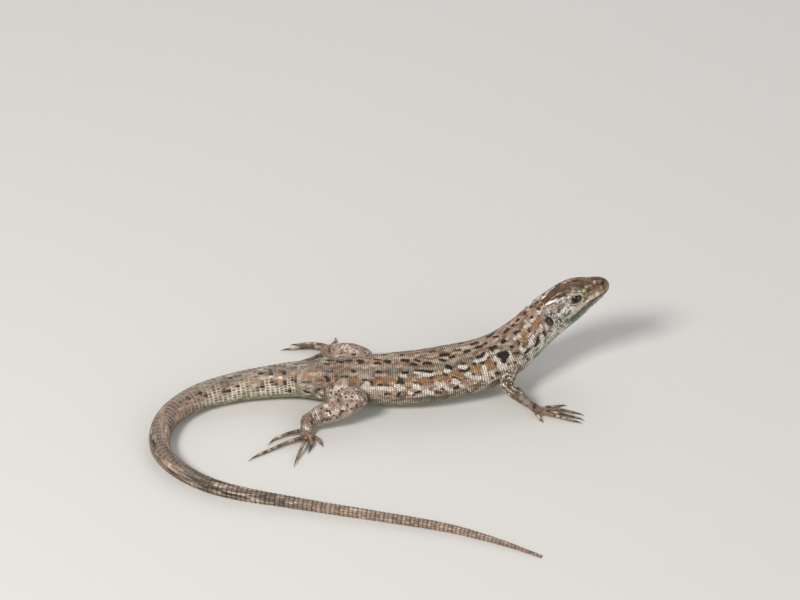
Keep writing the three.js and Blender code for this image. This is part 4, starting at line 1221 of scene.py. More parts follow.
def limb_strokes(marks):
    """Each mark's ends on the skin of a limb and its half-width, in mm."""
    rows = []
    for x0, y0, x1, y1, wide in marks:
        ends = []
        for x, y in ((x0, y0), (x1, y1)):
            ray = FOCAL * SIGHT + (PICTURE[1] / 2 - y) * SIGHT_UP + (x - PICTURE[0] / 2, 0, 0)
            ends.append(skin_tree.ray_cast(Vector(CAMERA_PLACE), Vector(ray))[0])
        if None not in ends:
            rows.append((*(np.array(end) for end in ends), wide / 2 * PIXEL))
    return rows


LIMB_STROKES = [
    (BROWN, limb_strokes(ARM_BROWN_MARKS)),
    (WHITE, limb_strokes(LEG_WHITE_MARKS + ARM_WHITE_MARKS)),
    (BLACK, limb_strokes(LEG_BLACK_MARKS + ARM_BLACK_MARKS)),
]
skin_limb, skin_down, _, skin_turn = limb_place(skin_points)
limb_share = step(0.02, 0.4, skin_out)
skin_colours = mixed(
    skin_tint(skin_s, skin_u),
    limb_tint(skin_points, skin_normals, IS_LEG[skin_limb], skin_down, skin_turn),
    limb_share,
)
SHADE_BETWEEN_SCALES, SHADE_BETWEEN_SHIELDS = 0.42, 0.72  # how bright the skin is against its scales, as painted shade in the hollows between them


def tail_net(s, u):
    """How pale the lines between the tail's scales are, most at its thick part's sides, and their tone."""
    near = np.abs(signed(u))
    patch = noise(np.stack([s / 1.1, ((u + 0.5) % 1) * 9, 0 * s], -1), 1.0, 50)
    side = 0.4 + 0.6 * step(0.05, 0.2, near + 0.1 * (patch - 0.5))
    thick = step(63, 69, s) * (1 - step(86, 104, s)) * side * (0.55 + 0.45 * step(0.35, 0.6, patch))
    far = 0.55 * step(84, 98, s) * (1 - step(112, 130, s))
    clear = step(0.01, 0.05, skin_tint(s, u).mean(-1))
    return (thick + far) * clear * (1 - step(0.28, 0.34, near)), mixed(NET, FAR_NET, step(80, 96, s))


# painted shade: the skin between the scales and shields is darkened
between = SHADE_BETWEEN_SCALES + (SHADE_BETWEEN_SHIELDS - SHADE_BETWEEN_SCALES) * (1 - step(9, 12, skin_s))
net_share, net_tone = tail_net(skin_s, skin_u)
skin_colours = mixed(skin_colours * between[:, None], net_tone * 0.9, 0.9 * net_share * (1 - limb_share))
skin = add_piece("skin", skin_points, skin_faces, skin_colours)

# ---------------------------------------------------------------- the trunk's and neck's granules

GRANULE = scale_shape(8, [(1.0, -0.3), (0.88, 0.5), (0.52, 0.93)], keel=0.08)
GRANULE.rim *= 0.35 + 0.65 * np.abs(GRANULE.back)  # the painted shade between the rings shows most
TAIL_BASE_SCALE = scale_shape(10, [(1.0, -0.3), (0.92, 0.5), (0.66, 0.9)], squareness=3, tilt=0.2, keel=0.2)
TAIL_SCALE = scale_shape(
    12, [(1.0, -0.25), (0.95, 0.45), (0.8, 0.8), (0.4, 0.9)], squareness=4.5, tilt=0.35, keel=0.35)
GRANULE_EDGE = 0.362  # share of the way round, either side of the back, where the granules end
NECK_START, VENT, TAIL_START = 16.5, 64.0, 65.4
# The rings' pitch and their scales' width by the length along the body, in mm.
RING_PITCH = np.array([[0, 0.42], [66, 0.42], [69, 0.7], [73, 1.05], [130, 0.95], [190, 0.75]])
SCALE_WIDTH = np.array([[16, 0.38], [24, 0.41], [46, 0.43], [60, 0.42], [74, 0.58], [190, 0.5]])
FEWEST_ROUND = 8
for shape, rows, weights in ((TAIL_SCALE, 12, (1, 1, 0.6, 0.05)), (TAIL_BASE_SCALE, 10, (1, 0.9, 0.35))):
    shape.rim[:-1] = np.repeat(weights, rows)  # the tail's scales have broad borders
MIXED_TINT = 0.75  # how far a scale's tint follows the markings over it rather than those at its middle

limb_skin = np.flatnonzero(skin_out > ON_LIMB)
limb_tree = KDTree(len(limb_skin))
for i in limb_skin:
    limb_tree.insert(skin_points[i], int(i))
limb_tree.balance()


def clear_of_limbs(s, u, room=0.22):
    """Which places keep so many mm from the skin of every limb."""
    points = body_point(s, u)
    return np.array([limb_tree.find(p)[2] > room for p in points])


def lay_on_body(coat_mesh, shape, s, u, half_long, half_wide, high,
                gap=0.3, vary=0.13, tint=skin_tint, rim_tint=None):
    """Lays scales on the body by their places, lengthwise along it. Sizes are in mm. The rim is gap times
    as bright as the rest, a painted shade between the scales, or takes on rim_tint."""
    half_long, half_wide, high = (
        np.broadcast_to(np.asarray(v, float), s.shape)[:, None] for v in (half_long, half_wide, high)
    )
    along = s[:, None] + shape.back * half_long
    around = u[:, None] - shape.across * half_wide / girth(s)[:, None]
    tints = mixed(tint(s, u)[:, None], tint(along, around), MIXED_TINT)
    tints = shaded(shape, tints, gap, vary)
    if rim_tint is not None:
        weight, colour = rim_tint
        tints = mixed(tints, colour[:, None], weight[:, None] * shape.rim)
    coat_mesh.lay(shape, body_point(along, around, shape.up * high), tints, body_map(s, u))


def make_rings():
    """The rings of scales from the neck to the tail's tip: each one's place, its ring's pitch and width."""
    rows, start, number = [], NECK_START, 0
    while start < BODY_LENGTH - 0.4:
        pitch = np.interp(start, *RING_PITCH.T) * (1 + 0.07 * (-1) ** number * step(68, 76, start))
        share = 2 * GRANULE_EDGE if start < TAIL_START else 1.0
        around = share * float(girth(start))
        count = max(2 * round(around / np.interp(start, *SCALE_WIDTH.T) / 2), FEWEST_ROUND)
        order = np.arange(count) + 0.5 + 0.25 * (-1) ** number * (start < TAIL_START)
        place = np.stack([np.full(count, start), (order / count - 0.5) * share], -1)
        rows.append(np.column_stack([place, np.full(count, pitch), np.full(count, around / count)]))
        start += pitch
        number += 1
    return np.concatenate(rows).T


def netted(s, u):
    """The scales' own tint, darker where the lines between them are pale."""
    return skin_tint(s, u) * (1 - 0.4 * tail_net(s, u)[0])[..., None]


coat_pieces = []
s, u, pitch, wide = make_rings()
loose = 1 - step(60, 68, s)
s = s + loose * chance.uniform(-0.04, 0.04, len(s))
u = u + loose * chance.uniform(-0.04, 0.04, len(u)) / girth(s)
keep = clear_of_limbs(s, u)
s, u, pitch, wide = s[keep], u[keep], pitch[keep], wide[keep]
groups = [("trunk_scales_1", GRANULE, 0, 38), ("trunk_scales_2", GRANULE, 38, 62),
          ("tail_scales_1", TAIL_BASE_SCALE, 62, 68), ("tail_scales_2", TAIL_SCALE, 68, 100),
          ("tail_scales_3", TAIL_SCALE, 100, 200)]
for name, shape, start, end in groups:
    part = np.flatnonzero((s >= start) & (s < end))
    place = s[part], u[part]
    size = 1 + chance.uniform(-0.08, 0.06, len(part)) * loose[part]
    half_long = np.interp(s[part], [60, 70], [0.46, 0.55]) * pitch[part] * size
    granules = Coat()
    lay_on_body(granules, shape, *place, half_long, 0.55 * wide[part] * size, coat(s[part]) * size,
                gap=0.42, vary=0.22 if start >= 62 else 0.14, tint=netted, rim_tint=tail_net(*place))
    coat_pieces.append(granules.piece(name))

# ---------------------------------------------------------------- the belly

PLATE = scale_shape(16, [(1.0, -0.3), (0.97, 0.35), (0.86, 0.75), (0.5, 0.85)], squareness=5, tilt=0.3)
BELLY_ROWS = 6
BELLY_PITCH = 1.5
BELLY_START, BELLY_END = 24.6, 62.6
PLATE_LOOK = {"gap": 0.6, "vary": 0.05, "tint": lambda s, u: mixed(skin_tint(s, u), BELLY, 0.6)}

belly = Coat()
rows = np.arange(BELLY_START, BELLY_END, BELLY_PITCH)
s = np.repeat(rows, BELLY_ROWS)
width = (1 - 2 * GRANULE_EDGE) / BELLY_ROWS
u = np.tile(GRANULE_EDGE + width * (np.arange(BELLY_ROWS) + 0.5), len(rows))
keep = clear_of_limbs(s, u, 0.5)
s, u = s[keep], u[keep]
lay_on_body(belly, PLATE, s, u, 0.54 * BELLY_PITCH, 0.5 * width * girth(s), COAT, **PLATE_LOOK)

# Small plates fill in between the legs, with one broad plate before the vent.
SMALL_PLATE = scale_shape(12, [(1.0, -0.3), (0.95, 0.4), (0.75, 0.85)], squareness=3, tilt=0.25)
COLLAR_AT, COLLAR_PLATES, COLLAR_HALF_LONG = 21.6, 11, 0.62
COLLAR_SHARE = 0.3  # the share of the way round that its plates' widths add up to


def rows_of_plates(starts, pitch, edge, wide):
    """Offset rows of small plates under the body, from one edge of the granules to the other."""
    places = []
    for number, start in enumerate(starts):
        count = max(int((1 - 2 * edge) * girth(start) / wide), 1)
        share = (np.arange(count) + 0.5 + 0.25 * (-1) ** number) / count
        places.append(np.stack([np.full(count, start), edge + (1 - 2 * edge) * share], -1))
    places = np.concatenate(places)
    s, u = places[clear_of_limbs(*places.T, 0.3)].T
    lay_on_body(belly, SMALL_PLATE, s, u, 0.56 * pitch, 0.5 * wide, COAT, **PLATE_LOOK)


rows_of_plates(np.arange(22.4, BELLY_START - 0.6, 0.75), 0.75, GRANULE_EDGE, 0.85)
rows_of_plates([63.1, 64.9], 0.6, 0.385, 0.7)
s = np.full(COLLAR_PLATES, COLLAR_AT)
u = GRANULE_EDGE - 0.01 + (1.02 - 2 * GRANULE_EDGE) * (np.arange(COLLAR_PLATES) + 0.5) / COLLAR_PLATES
half_wide = 0.5 * COLLAR_SHARE * girth(s) / COLLAR_PLATES
lay_on_body(belly, PLATE, s, u, COLLAR_HALF_LONG, half_wide, COAT * 1.3, **PLATE_LOOK)
lay_on_body(belly, PLATE, np.array([VENT]), np.array([0.5]), 0.65, 1.25, COAT, **PLATE_LOOK)
coat_pieces.append(belly.piece("belly_plates"))

# ---------------------------------------------------------------- the limbs' scales

LIMB_SCALE = scale_shape(8, [(1.0, -0.3), (0.9, 0.5), (0.55, 0.9)], squareness=2.4, tilt=0.25, keel=0.1)
LIMB_PITCH = {"arm": (0.38, 0.4, 0.34), "leg": (0.46, 0.46, 0.36)}  # along each segment
CROWDING = 0.84  # how near two scales may come, against their pitch
FILL_TRIES = 26000
DIGIT_ROOM = 0.62  # how far from the middle of a digit the limb's scales end


def spaced(points, gaps):
    """Which of the points keep their distance from every one taken before them."""
    cells, taken = {}, []
    nearby = [np.array(shift) - 1 for shift in np.ndindex(3, 3, 3)]
    keys = np.floor(points / gaps.max()).astype(int)
    around = (keys[:, None] + nearby).tolist()
    rows = points.tolist()
    for i, gap in enumerate(gaps.tolist()):
        near = [j for key in around[i] for j in cells.get(tuple(key), ())]
        if all(math.dist(rows[j], rows[i]) >= gap for j in near):
            cells.setdefault(tuple(keys[i].tolist()), []).append(i)
            taken.append(i)
    return np.array(taken)


def limb_rows():
    """Places in regular rows over each stretch of each limb."""
    places = []
    for limb in limbs:
        for k, (pitch, high) in enumerate(zip(LIMB_PITCH[limb.kind], FLATNESS)):
            start, end = limb.joints[k : k + 2]
            length = np.linalg.norm(end - start)
            line = (end - start) / length
            side, up = frame_along(line)
            first = -0.5 * limb.girths[k][0]
            for number, along in enumerate(np.arange(first, length + 0.6, 0.9 * pitch)):
                radius = limb_radius(limb.girths[k], along / length)
                count = max(int(2 * math.pi * radius * (0.85 if k == 2 else 1.0) / pitch), 6)
                turn = (2 * math.pi * (np.arange(count) + 0.5 * (number % 2)) / count)[:, None]
                ring = np.cos(turn) * side + high * np.sin(turn) * up
                places.append(start + along * line + radius * ring)
    return np.concatenate(places)


def random_on_skin(faces, number):
    """Random places on the skin's four-sided faces, as many to each as its area asks for."""
    corners = skin_points[faces]
    across = np.cross(corners[:, 2] - corners[:, 0], corners[:, 3] - corners[:, 1])
    area = np.linalg.norm(across, axis=1)
    chosen = chance.choice(len(faces), number, p=area / area.sum())
    a, b = chance.uniform(0, 1, (2, number, 1))
    c = corners[chosen]
    return (1 - a) * ((1 - b) * c[:, 0] + b * c[:, 1]) + a * ((1 - b) * c[:, 3] + b * c[:, 2])


def on_skin(points):
    """The nearest places on the skin, with their normals and distances."""
    places, normals, _, far = zip(*(skin_tree.find_nearest(Vector(p)) for p in points))
    return np.array(places), np.array(normals), np.array(far)


def beyond_palm(limb, path):
    """Which places of a digit's path lie clear of its palm or sole."""
    start, end = limb.joints[2:4]
    t = np.clip((path - start) @ (end - start) / ((end - start) @ (end - start)), 0, 1)
    return np.linalg.norm(path - start - t[:, None] * (end - start), axis=1) > 0.82 * limb.girths[2][2]


def digit_reach(points):
    """How far points lie from the nearest digit, beyond the palm or sole that it grows from."""
    places = np.concatenate([path[beyond_palm(limb, path)] for limb in limbs for path in limb.paths])
    return np.min([np.linalg.norm(points - place, axis=1) for place in places], axis=0)


def lay_on_skin(coat_mesh, shape, places, normals, lines, half_long, half_wide, high, tints, roots):
    """Lays scales on the skin at places with their normals, each lengthwise along its line."""
    back = unit(lines - (lines * normals).sum(-1, keepdims=True) * normals)
    across = np.cross(back, normals)
    points = (
        places[:, None]
        + (half_wide[:, None] * shape.across)[..., None] * across[:, None]
        + (half_long[:, None] * shape.back)[..., None] * back[:, None]
        + (high * shape.up)[None, :, None] * normals[:, None]
    )
    coat_mesh.lay(shape, points, tints, roots)


def cover_limbs():
    """The limbs' coats of scales: regular rows first, then random places wherever there is room between."""
    places, _, far = on_skin(limb_rows())
    places = places[far < 0.5]
    quads = np.array([f for f in skin_faces if len(f) == 4])
    quads = quads[(skin_out[quads] > ON_LIMB).all(1)]
    places = np.concatenate([places, random_on_skin(quads, FILL_TRIES)])
    _, _, out = body_place(places)
    places = places[(out > ON_LIMB) & (digit_reach(places) > DIGIT_ROOM)]
    which, down, lines, turn = limb_place(places)
    stretch = np.minimum((down * 3).astype(int), 2)
    pitches = np.array([LIMB_PITCH[limb.kind] for limb in limbs])[which, stretch]
    taken = spaced(places, CROWDING * pitches)
    places, which, down, lines, turn, pitches = (
        values[taken] for values in (places, which, down, lines, turn, pitches))
    _, normals, _ = on_skin(places)
    tint = limb_tint(places, normals, IS_LEG[which], down, turn)
    made = []
    for kind in ("arm", "leg"):
        group = np.flatnonzero(IS_LEG[which] == (kind == "leg"))
        scales = Coat()
        size = pitches[group] * chance.uniform(0.52, 0.6, len(group))
        tints = shaded(LIMB_SCALE, tint[group][:, None], 0.42, 0.15)
        lay_on_skin(scales, LIMB_SCALE, places[group], normals[group], lines[group], size, 0.95 * size,
                    LIMB_COAT * 1.1, tints, limb_map(which[group], down[group], turn[group]))
        made.append(scales.piece(f"{kind}_scales"))
    return made


coat_pieces += cover_limbs()

# ---------------------------------------------------------------- the digits' scutes and the claws

SCUTE = scale_shape(12, [(1.0, -0.35), (0.95, 0.4), (0.8, 0.85), (0.4, 1.0)], squareness=3.2, tilt=0.25)
SCUTE_PITCH, SCUTE_HALF_LONG = 0.4, 0.232
TOP_TURN, SOLE_TURN = 1.75, 1.45  # how far round the digit each row's scutes reach, in radians either way
CLAW_ROOT, CLAW_TIP, CLAW_ARCH = 0.24, 0.02, 0.16
CLAW_DARK, CLAW_PALE = tone(38, 27, 22), tone(120, 96, 78)


def digit_scutes(scutes, limb, lane, path):
    """Lays one row of scutes along the top of a digit and one along its sole."""
    keys = lengths_along(path)
    first = keys[beyond_palm(limb, path)][0] - 0.3
    middles = np.arange(max(first, 0.2), keys[-1] + 0.05, SCUTE_PITCH)
    lines = unit(np.gradient(path, axis=0))
    places, share = straight_line(keys, path, middles), middles / keys[-1]
    colours = layered(
        np.broadcast_to(DIGIT, places.shape),
        (DIGIT_PALE, step(0.5, 0.65, noise(places, 0.9, 14 + lane))),
        (DIGIT_DARK, 0.85 * step(0.52, 0.66, noise(places, 0.6, 24 + lane))),
    )
    t = middles[:, None] + SCUTE.back * SCUTE_HALF_LONG
    line = unit(straight_line(keys, lines, t))
    side, over = frame_along(line)
    radius = np.interp(t, keys, np.linspace(*limb.digit_radius, len(path))) - DIGIT_COAT
    narrowing = 1 - 0.35 * step(keys[-1] - 0.1, keys[-1] + 0.2, t)
    radius = (radius * narrowing + SCUTE.up * DIGIT_COAT)[..., None]
    middle = straight_line(keys, path, t) + np.maximum(t - keys[-1], 0)[..., None] * line
    for sole, (facing, half_turn) in enumerate(((math.pi / 2, TOP_TURN), (-math.pi / 2, SOLE_TURN))):
        turn = (facing + SCUTE.across * half_turn)[None, :, None]
        points = middle + radius * (np.cos(turn) * side + np.sin(turn) * over)
        tint = mixed(colours, LIMB_UNDER * 0.8, 0.7 * sole)
        row = (DIGIT_UP + DIGIT_STRIDE * (2 * lane + sole), 0)
        roots = limb_map(limb.order, share, 0 * share, row)
        scutes.lay(SCUTE, points, shaded(SCUTE, tint[:, None], 0.4, 0.15), roots)


def claw_mesh(path, tip, rows=9, sides=10):
    """A hooked claw from the end of a digit's path to its tip."""
    root = path[-1] - 0.1 * unit(path[-1] - path[-3])
    crown = (root + tip) / 2 + (0, 0, CLAW_ARCH)
    share = np.linspace(0, 1, rows)
    radii = CLAW_ROOT + (CLAW_TIP - CLAW_ROOT) * share**0.8
    points, faces = loft(tube_rings(digit_path([root, crown, tip], rows), radii, sides, 1.2))
    colours = mixed(np.broadcast_to(CLAW_PALE, (rows, 3)), CLAW_DARK, step(0.05, 0.5, share))
    return points, faces, np.repeat(colours, sides, 0)


for limb in limbs:
    _, _, hand, digit_name = LIMB_NODES[limb.kind]
    scutes = Coat()
    for lane, path in enumerate(limb.paths):
        digit_scutes(scutes, limb, lane, path)
    coat_pieces.append(scutes.piece(f"{hand}_scutes_{limb.hand}"))
    made = [claw_mesh(path, digit[3]) for path, digit in zip(limb.paths, limb.digits)]
    claws = add_piece(f"claws_{hand}_{limb.hand}", *joined(made))
    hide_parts(*[f"claw_{digit_name}_{limb.hand}_{n}" for n in range(1, 6)])
    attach(claws, "root")
    limb.claws = claws

# ---------------------------------------------------------------- the head's shields


def bent(value, size, s):
    """The angle to a place at a distance from the middle of a section, which reaches size that way."""
    return math.asin(np.clip(value / (size - coat(s)), 0, 1) ** (at("square", s) / 2))


def placed_at(s, angle):
    """An angle on a section as a place on the body."""
    return float(s), float(share_of(np.array(float(s)), np.array(float(angle))))


def top(s, y):
    """A place on top of the head, y from its middle line toward the right."""
    return placed_at(s, math.pi / 2 + bent(y, at("wide", s), s))


def under(s, y):
    """A place under the head, y from its middle line toward the right."""
    return placed_at(s, 1.5 * math.pi - bent(y, at("wide", s), s))


def cheek(s, z):
    """A place on the right side of the head, z above the spine."""
    return placed_at(s, math.pi - math.copysign(bent(abs(z), at("rise" if z > 0 else "fall", s), s), z))


def brow(s, degrees):
    """A place on the head's upper edge. 0 is straight out to the side and 90 straight up."""
    return placed_at(s, math.pi - math.radians(degrees))


def jaw_foot(s):
    """A place on the lower edge of the lower lip's shields."""
    return cheek(s, float(np.interp(s, [0.8, 2.0, 5.0, 10.5], [-1.0, -1.45, -1.95, -2.45])))


def centred(half):
    """A shield across the middle line, from its right half."""
    return half + [(s, -u if half[0][1] < 0.25 else 1 - u) for s, u in reversed(half)]


# The shields' corners in order round each. Those beside the middle line are given for the right side.
SUPRAOCULARS = [
    [top(5.05, 0.92), top(5.0, 1.6), top(5.4, 1.95), top(5.75, 0.88)],
    [top(5.8, 0.88), top(5.45, 1.98), top(6.2, 2.3), top(7.1, 2.38), top(7.2, 0.74)],
    [top(7.25, 0.74), top(7.15, 2.38), top(8.4, 2.35), top(8.75, 1.55), top(8.4, 0.66)],
    [top(8.8, 1.62), top(8.45, 2.35), top(9.4, 2.3), top(9.4, 1.72)],
]
# Supranasal, prefrontal, frontoparietal and parietal.
TOP_SHIELDS = SUPRAOCULARS + [
    [top(0.5, 0.03), top(1.55, 0.03), top(1.95, 0.75), cheek(2.0, 1.2), cheek(0.9, 1.16), top(0.5, 0.45)],
    [
        top(3.6, 0.03), top(3.55, 0.35), top(3.3, 1.0), cheek(3.4, 1.45), cheek(4.9, 1.7), top(5.0, 1.5),
        top(4.9, 0.78), top(4.45, 0.03),
    ],
    [top(8.8, 0.03), top(8.45, 0.62), top(8.85, 1.5), top(9.6, 1.6), top(10.4, 0.9), top(10.2, 0.03)],
    [
        top(9.65, 1.68), top(9.7, 2.1), top(11.0, 1.98), top(12.4, 1.65), top(13.3, 1.15), top(13.45, 0.62),
        top(12.25, 0.37), top(10.55, 0.46), top(10.45, 0.95),
    ],
]
# Frontonasal, frontal, interparietal, occipital and mental.
MIDDLE_SHIELDS = [
    centred([
        top(1.64, 0.0), top(2.05, 0.8), top(2.6, 1.1), top(3.25, 0.98), top(3.52, 0.3), top(3.55, 0.0),
    ]),
    centred([
        top(4.52, 0.0), top(4.95, 0.72), top(5.2, 0.84), top(6.5, 0.76), top(8.3, 0.56), top(8.72, 0.0),
    ]),
    centred([top(10.25, 0.0), top(10.5, 0.4), top(12.0, 0.3), top(12.2, 0.0)]),
    centred([top(12.28, 0.0), top(12.35, 0.3), top(13.3, 0.55), top(13.5, 0.0)]),
    centred([(0.14, 0.5), cheek(0.28, -0.74), cheek(0.9, -0.84), under(1.35, 0.5), under(1.45, 0.0)]),
]
LIP_EDGES = [0.75, 1.75, 2.9, 4.1, 5.25, 8.3, 9.6, 10.9]
LIP_TOP, LIP_GAP = 0.14, 0.06  # how high the upper lip's shields reach, and their room at the mouth's line
JAW_EDGES = [0.95, 1.95, 3.3, 4.9, 6.7, 8.5, 10.4]


def lip_shields():
    """The shields along the upper lip, lower under the eye, and those along the lower lip."""
    made = []
    for a, b in zip(LIP_EDGES[:-1], LIP_EDGES[1:]):
        middle = (a + b) / 2
        dip = 0.22 if b - a > 2 else 0.0
        below = [cheek(s, mouth(s) + LIP_GAP) for s in (a, middle, b)]
        last = LIP_TOP - 0.25 * (b > 9)
        made.append([*below, cheek(b, last), cheek(middle, LIP_TOP - dip), cheek(a, LIP_TOP)])
    for a, b in zip(JAW_EDGES[:-1], JAW_EDGES[1:]):
        above = [cheek(s, mouth(s) - LIP_GAP) for s in (a, (a + b) / 2, b)]
        made.append([*above, jaw_foot(b), jaw_foot(a)])
    return made


# Postnasal, nasal, the two loreals and the preocular.
SIDE_SHIELDS = [
    [cheek(1.45, 1.0), cheek(2.0, 1.12), cheek(1.9, 0.2), cheek(1.45, 0.18)],
    [cheek(0.62, 0.72), cheek(0.95, 1.05), cheek(1.4, 0.98), cheek(1.4, 0.18), cheek(0.72, 0.16)],
    [cheek(1.98, 0.2), cheek(2.55, 0.18), cheek(2.6, 1.15), cheek(2.06, 1.05)],
    [cheek(2.62, 0.18), cheek(4.7, 0.18), cheek(4.82, 1.6), cheek(3.42, 1.36), cheek(2.68, 1.15)],
    [cheek(4.8, 0.2), cheek(5.2, 0.25), cheek(5.2, 1.0), cheek(4.9, 1.62)],
]
CHIN_SHIELDS = [
    [under(1.5, 0.03), jaw_foot(1.65), jaw_foot(3.0), under(3.1, 0.03)],
    [under(3.15, 0.03), jaw_foot(3.05), jaw_foot(4.9), under(4.95, 0.03)],
    [under(5.0, 0.03), jaw_foot(4.95), jaw_foot(7.2), under(6.6, 1.0), under(6.0, 0.03)],
    [jaw_foot(7.25), jaw_foot(9.8), under(9.6, 2.7), under(7.0, 1.3)],
]
BROW_EDGES = [4.95, 5.75, 6.6, 7.5, 8.4, 9.2]
BROW_SHIELDS = [
    [brow(a, 46), brow(b, 46), brow(b, 57), brow(a, 57)] for a, b in zip(BROW_EDGES[:-1], BROW_EDGES[1:])
]
TEMPLE_SHIELDS = [
    [cheek(10.3, 0.75), cheek(11.5, 0.7), cheek(11.7, -0.1), cheek(10.9, -0.35), cheek(10.2, 0.1)],
    [cheek(14.0, 3.0), cheek(14.6, 3.1), cheek(14.9, 2.8), cheek(14.2, 2.6)],
]
PAIRED_SHIELDS = TOP_SHIELDS + SIDE_SHIELDS + lip_shields() + CHIN_SHIELDS + BROW_SHIELDS + TEMPLE_SHIELDS
SHIELDS = MIDDLE_SHIELDS + PAIRED_SHIELDS + [[(s, -u) for s, u in shield] for shield in PAIRED_SHIELDS]
SHIELD_SIDE, SHIELD_RING, SHIELD_GAP = 0.16, 0.16, 0.025
NOSTRIL_AT = cheek(NOSTRIL_ALONG, NOSTRIL_UP)


def rounded(outline, rounds=2):
    """An outline with its corners cut to curves, as points spaced evenly along it."""
    for _ in range(rounds):
        following = np.roll(outline, -1, 0)
        cut = np.stack([0.82 * outline + 0.18 * following, 0.18 * outline + 0.82 * following], 1)
        outline = cut.reshape(-1, 2)
    closed = np.vstack([outline, outline[:1]])
    keys = lengths_along(closed)
    count = int(np.clip(keys[-1] / SHIELD_SIDE, 16, 72))
    return straight_line(keys, closed, np.linspace(0, keys[-1], count, endpoint=False))


def lay_shield(shields, outline, high=COAT):
    """Lays one shield whose outline is given as places on the head."""
    outline = np.array(outline)
    scale = girth(outline[:, 0].mean())
    edge = rounded(outline * (1, scale))
    following = np.roll(edge, -1, 0)
    if (edge[:, 0] * following[:, 1] - following[:, 0] * edge[:, 1]).sum() < 0:
        edge = edge[::-1]
    run = unit(np.roll(edge, -1, 0) - np.roll(edge, 1, 0))
    inward = np.stack([-run[:, 1], run[:, 0]], -1)
    middle, sides = edge.mean(0), len(edge)
    rings = [(edge + (SHIELD_GAP + gap) * inward, lift, rim)
             for gap, lift, rim in ((0, -0.25, 1.0), (0.01, 0.5, 0.6), (0.08, 0.95, 0.1))]
    inner = rings[-1][0]
    count = int(np.clip(np.linalg.norm(inner - middle, axis=1).mean() / SHIELD_RING, 3, 9))
    rings += [(middle + share * (inner - middle), 1.0, 0.0) for share in np.linspace(1, 0, count + 1)[1:-1]]
    places, lifts, rims = zip(*rings)
    places = np.concatenate([*places, middle[None]])
    s, u = np.maximum(places[:, 0], 0.02), places[:, 1] / scale
    lift, rim = np.append(np.repeat(lifts, sides), 1.0) * high, np.append(np.repeat(rims, sides), 0.0)
    lift = lift - 0.07 * (1 - rim) * step(0.4, 0.7, noise(body_point(s, u), 0.45, 41))
    tint = head_tint(s, u) * math.exp(chance.normal(0, 0.07))
    faces = crowned_faces(len(rings), sides)[:, ::-1]
    # painted shade: the shield's rim is darkened, as the hollow between shields
    shields.add(body_point(s, u, lift), faces, mixed(tint, tint * 0.45, rim), body_map(s, u))


def lay_rostral(shields, high=COAT, sides=36):
    """The shield round the tip of the snout, down to the lips."""
    angle = 2 * math.pi * np.arange(sides) / sides
    down = -np.sin(angle)
    below = step(0.5, 0.75, down)
    reach = 0.46 + 0.16 * step(-0.6, -0.35, down) + 0.08 * step(0.1, 0.35, down)
    reach = reach * (1 - below) + 0.1 * below
    rings = [(1.0, -0.2, 1.0), (0.97, 0.6, 1.0), (0.88, 1.0, 0.3)]
    rings += [(size, 1.0, 0.0) for size in (0.6, 0.3, 0.08)]
    size, lift, rim = (np.repeat(values, sides) for values in zip(*rings))
    s, angle = np.tile(reach, len(rings)) * size, np.tile(angle, len(rings))
    points = section_point(s, angle, high * lift)
    points = np.vstack([points, points[-sides:].mean(0)])
    s, u, rim = np.append(s, 0.02), np.append(share_of(s, angle), 0.0), np.append(rim, 0.0)
    tint = head_tint(s, u)
    # painted shade: the rostral's rim is darkened
    shields.add(points, crowned_faces(len(rings), sides), mixed(tint, tint * 0.75, rim), body_map(s, u))


def inside(places, outline):
    """Which places lie inside an outline, both as (s, mm round the body)."""
    x, y = places.T
    hit = np.zeros(len(places), bool)
    for (x1, y1), (x2, y2) in zip(outline, np.roll(outline, -1, 0)):
        crosses = (y1 > y) != (y2 > y)
        with np.errstate(divide="ignore", invalid="ignore"):
            hit ^= crosses & (x < (x2 - x1) * (y - y1) / (y2 - y1) + x1)
    return hit


HEAD_PITCH, THROAT_END = 0.4, 21.2
SHIELD_MARGIN = 0.13  # how far small scales keep from a shield


def granules_between():
    """Places for small scales over the head and throat wherever no shield lies."""
    places = []
    for number, s in enumerate(np.arange(0.9, THROAT_END, 0.9 * HEAD_PITCH)):
        count = int(girth(s) / HEAD_PITCH)
        u = (np.arange(count) + 0.5 * (number % 2)) / count - 0.5
        places.append(np.stack([np.full(count, s), u], -1))
    s, u = np.concatenate(places).T
    s = s + chance.uniform(-0.03, 0.03, len(s))
    side, up = section_sizes(s, u)
    keep = (s < NECK_START - 0.15) | (np.abs(u) > GRANULE_EDGE + 0.006)
    keep &= (orbit_reach(s, side, up) > 1.1) & ((ear_reach(s, up) > 1.2) | (side < 2.1))
    keep &= (np.abs(up - mouth(s)) > 0.16) | (s > 11.0)
    s, u = s[keep], u[keep]
    free = np.ones(len(s), bool)
    for shield in SHIELDS:
        scale = girth(np.mean(shield, 0)[0])
        outline = np.array(shield) * (1, scale)
        for turn in (-1, 0, 1):
            around = np.stack([s, (u + turn) * scale], -1)
            for away in ((0, 0), (1, 0), (-1, 0), (0, 1), (0, -1)):
                free &= ~inside(around + SHIELD_MARGIN * np.array(away), outline)
    return s[free], u[free]


shields = Coat()
for shield in SHIELDS:
    lay_shield(shields, shield)
lay_rostral(shields)
NOSTRIL = scale_shape(12, [(1.0, -0.2), (0.9, 0.8), (0.62, 1.0), (0.5, 0.3), (0.3, -1.2)])
NOSTRIL.rim[-25:] = 1.3  # its two inner rows and its middle are dark, painted shade in the nostril's opening
s, u = np.array([NOSTRIL_AT[0]] * 2), np.array([NOSTRIL_AT[1], -NOSTRIL_AT[1]])
lay_on_body(shields, NOSTRIL, s, u, 0.2, 0.22, COAT, gap=0.25, tint=head_tint)
coat_pieces.append(shields.piece("head_shields"))

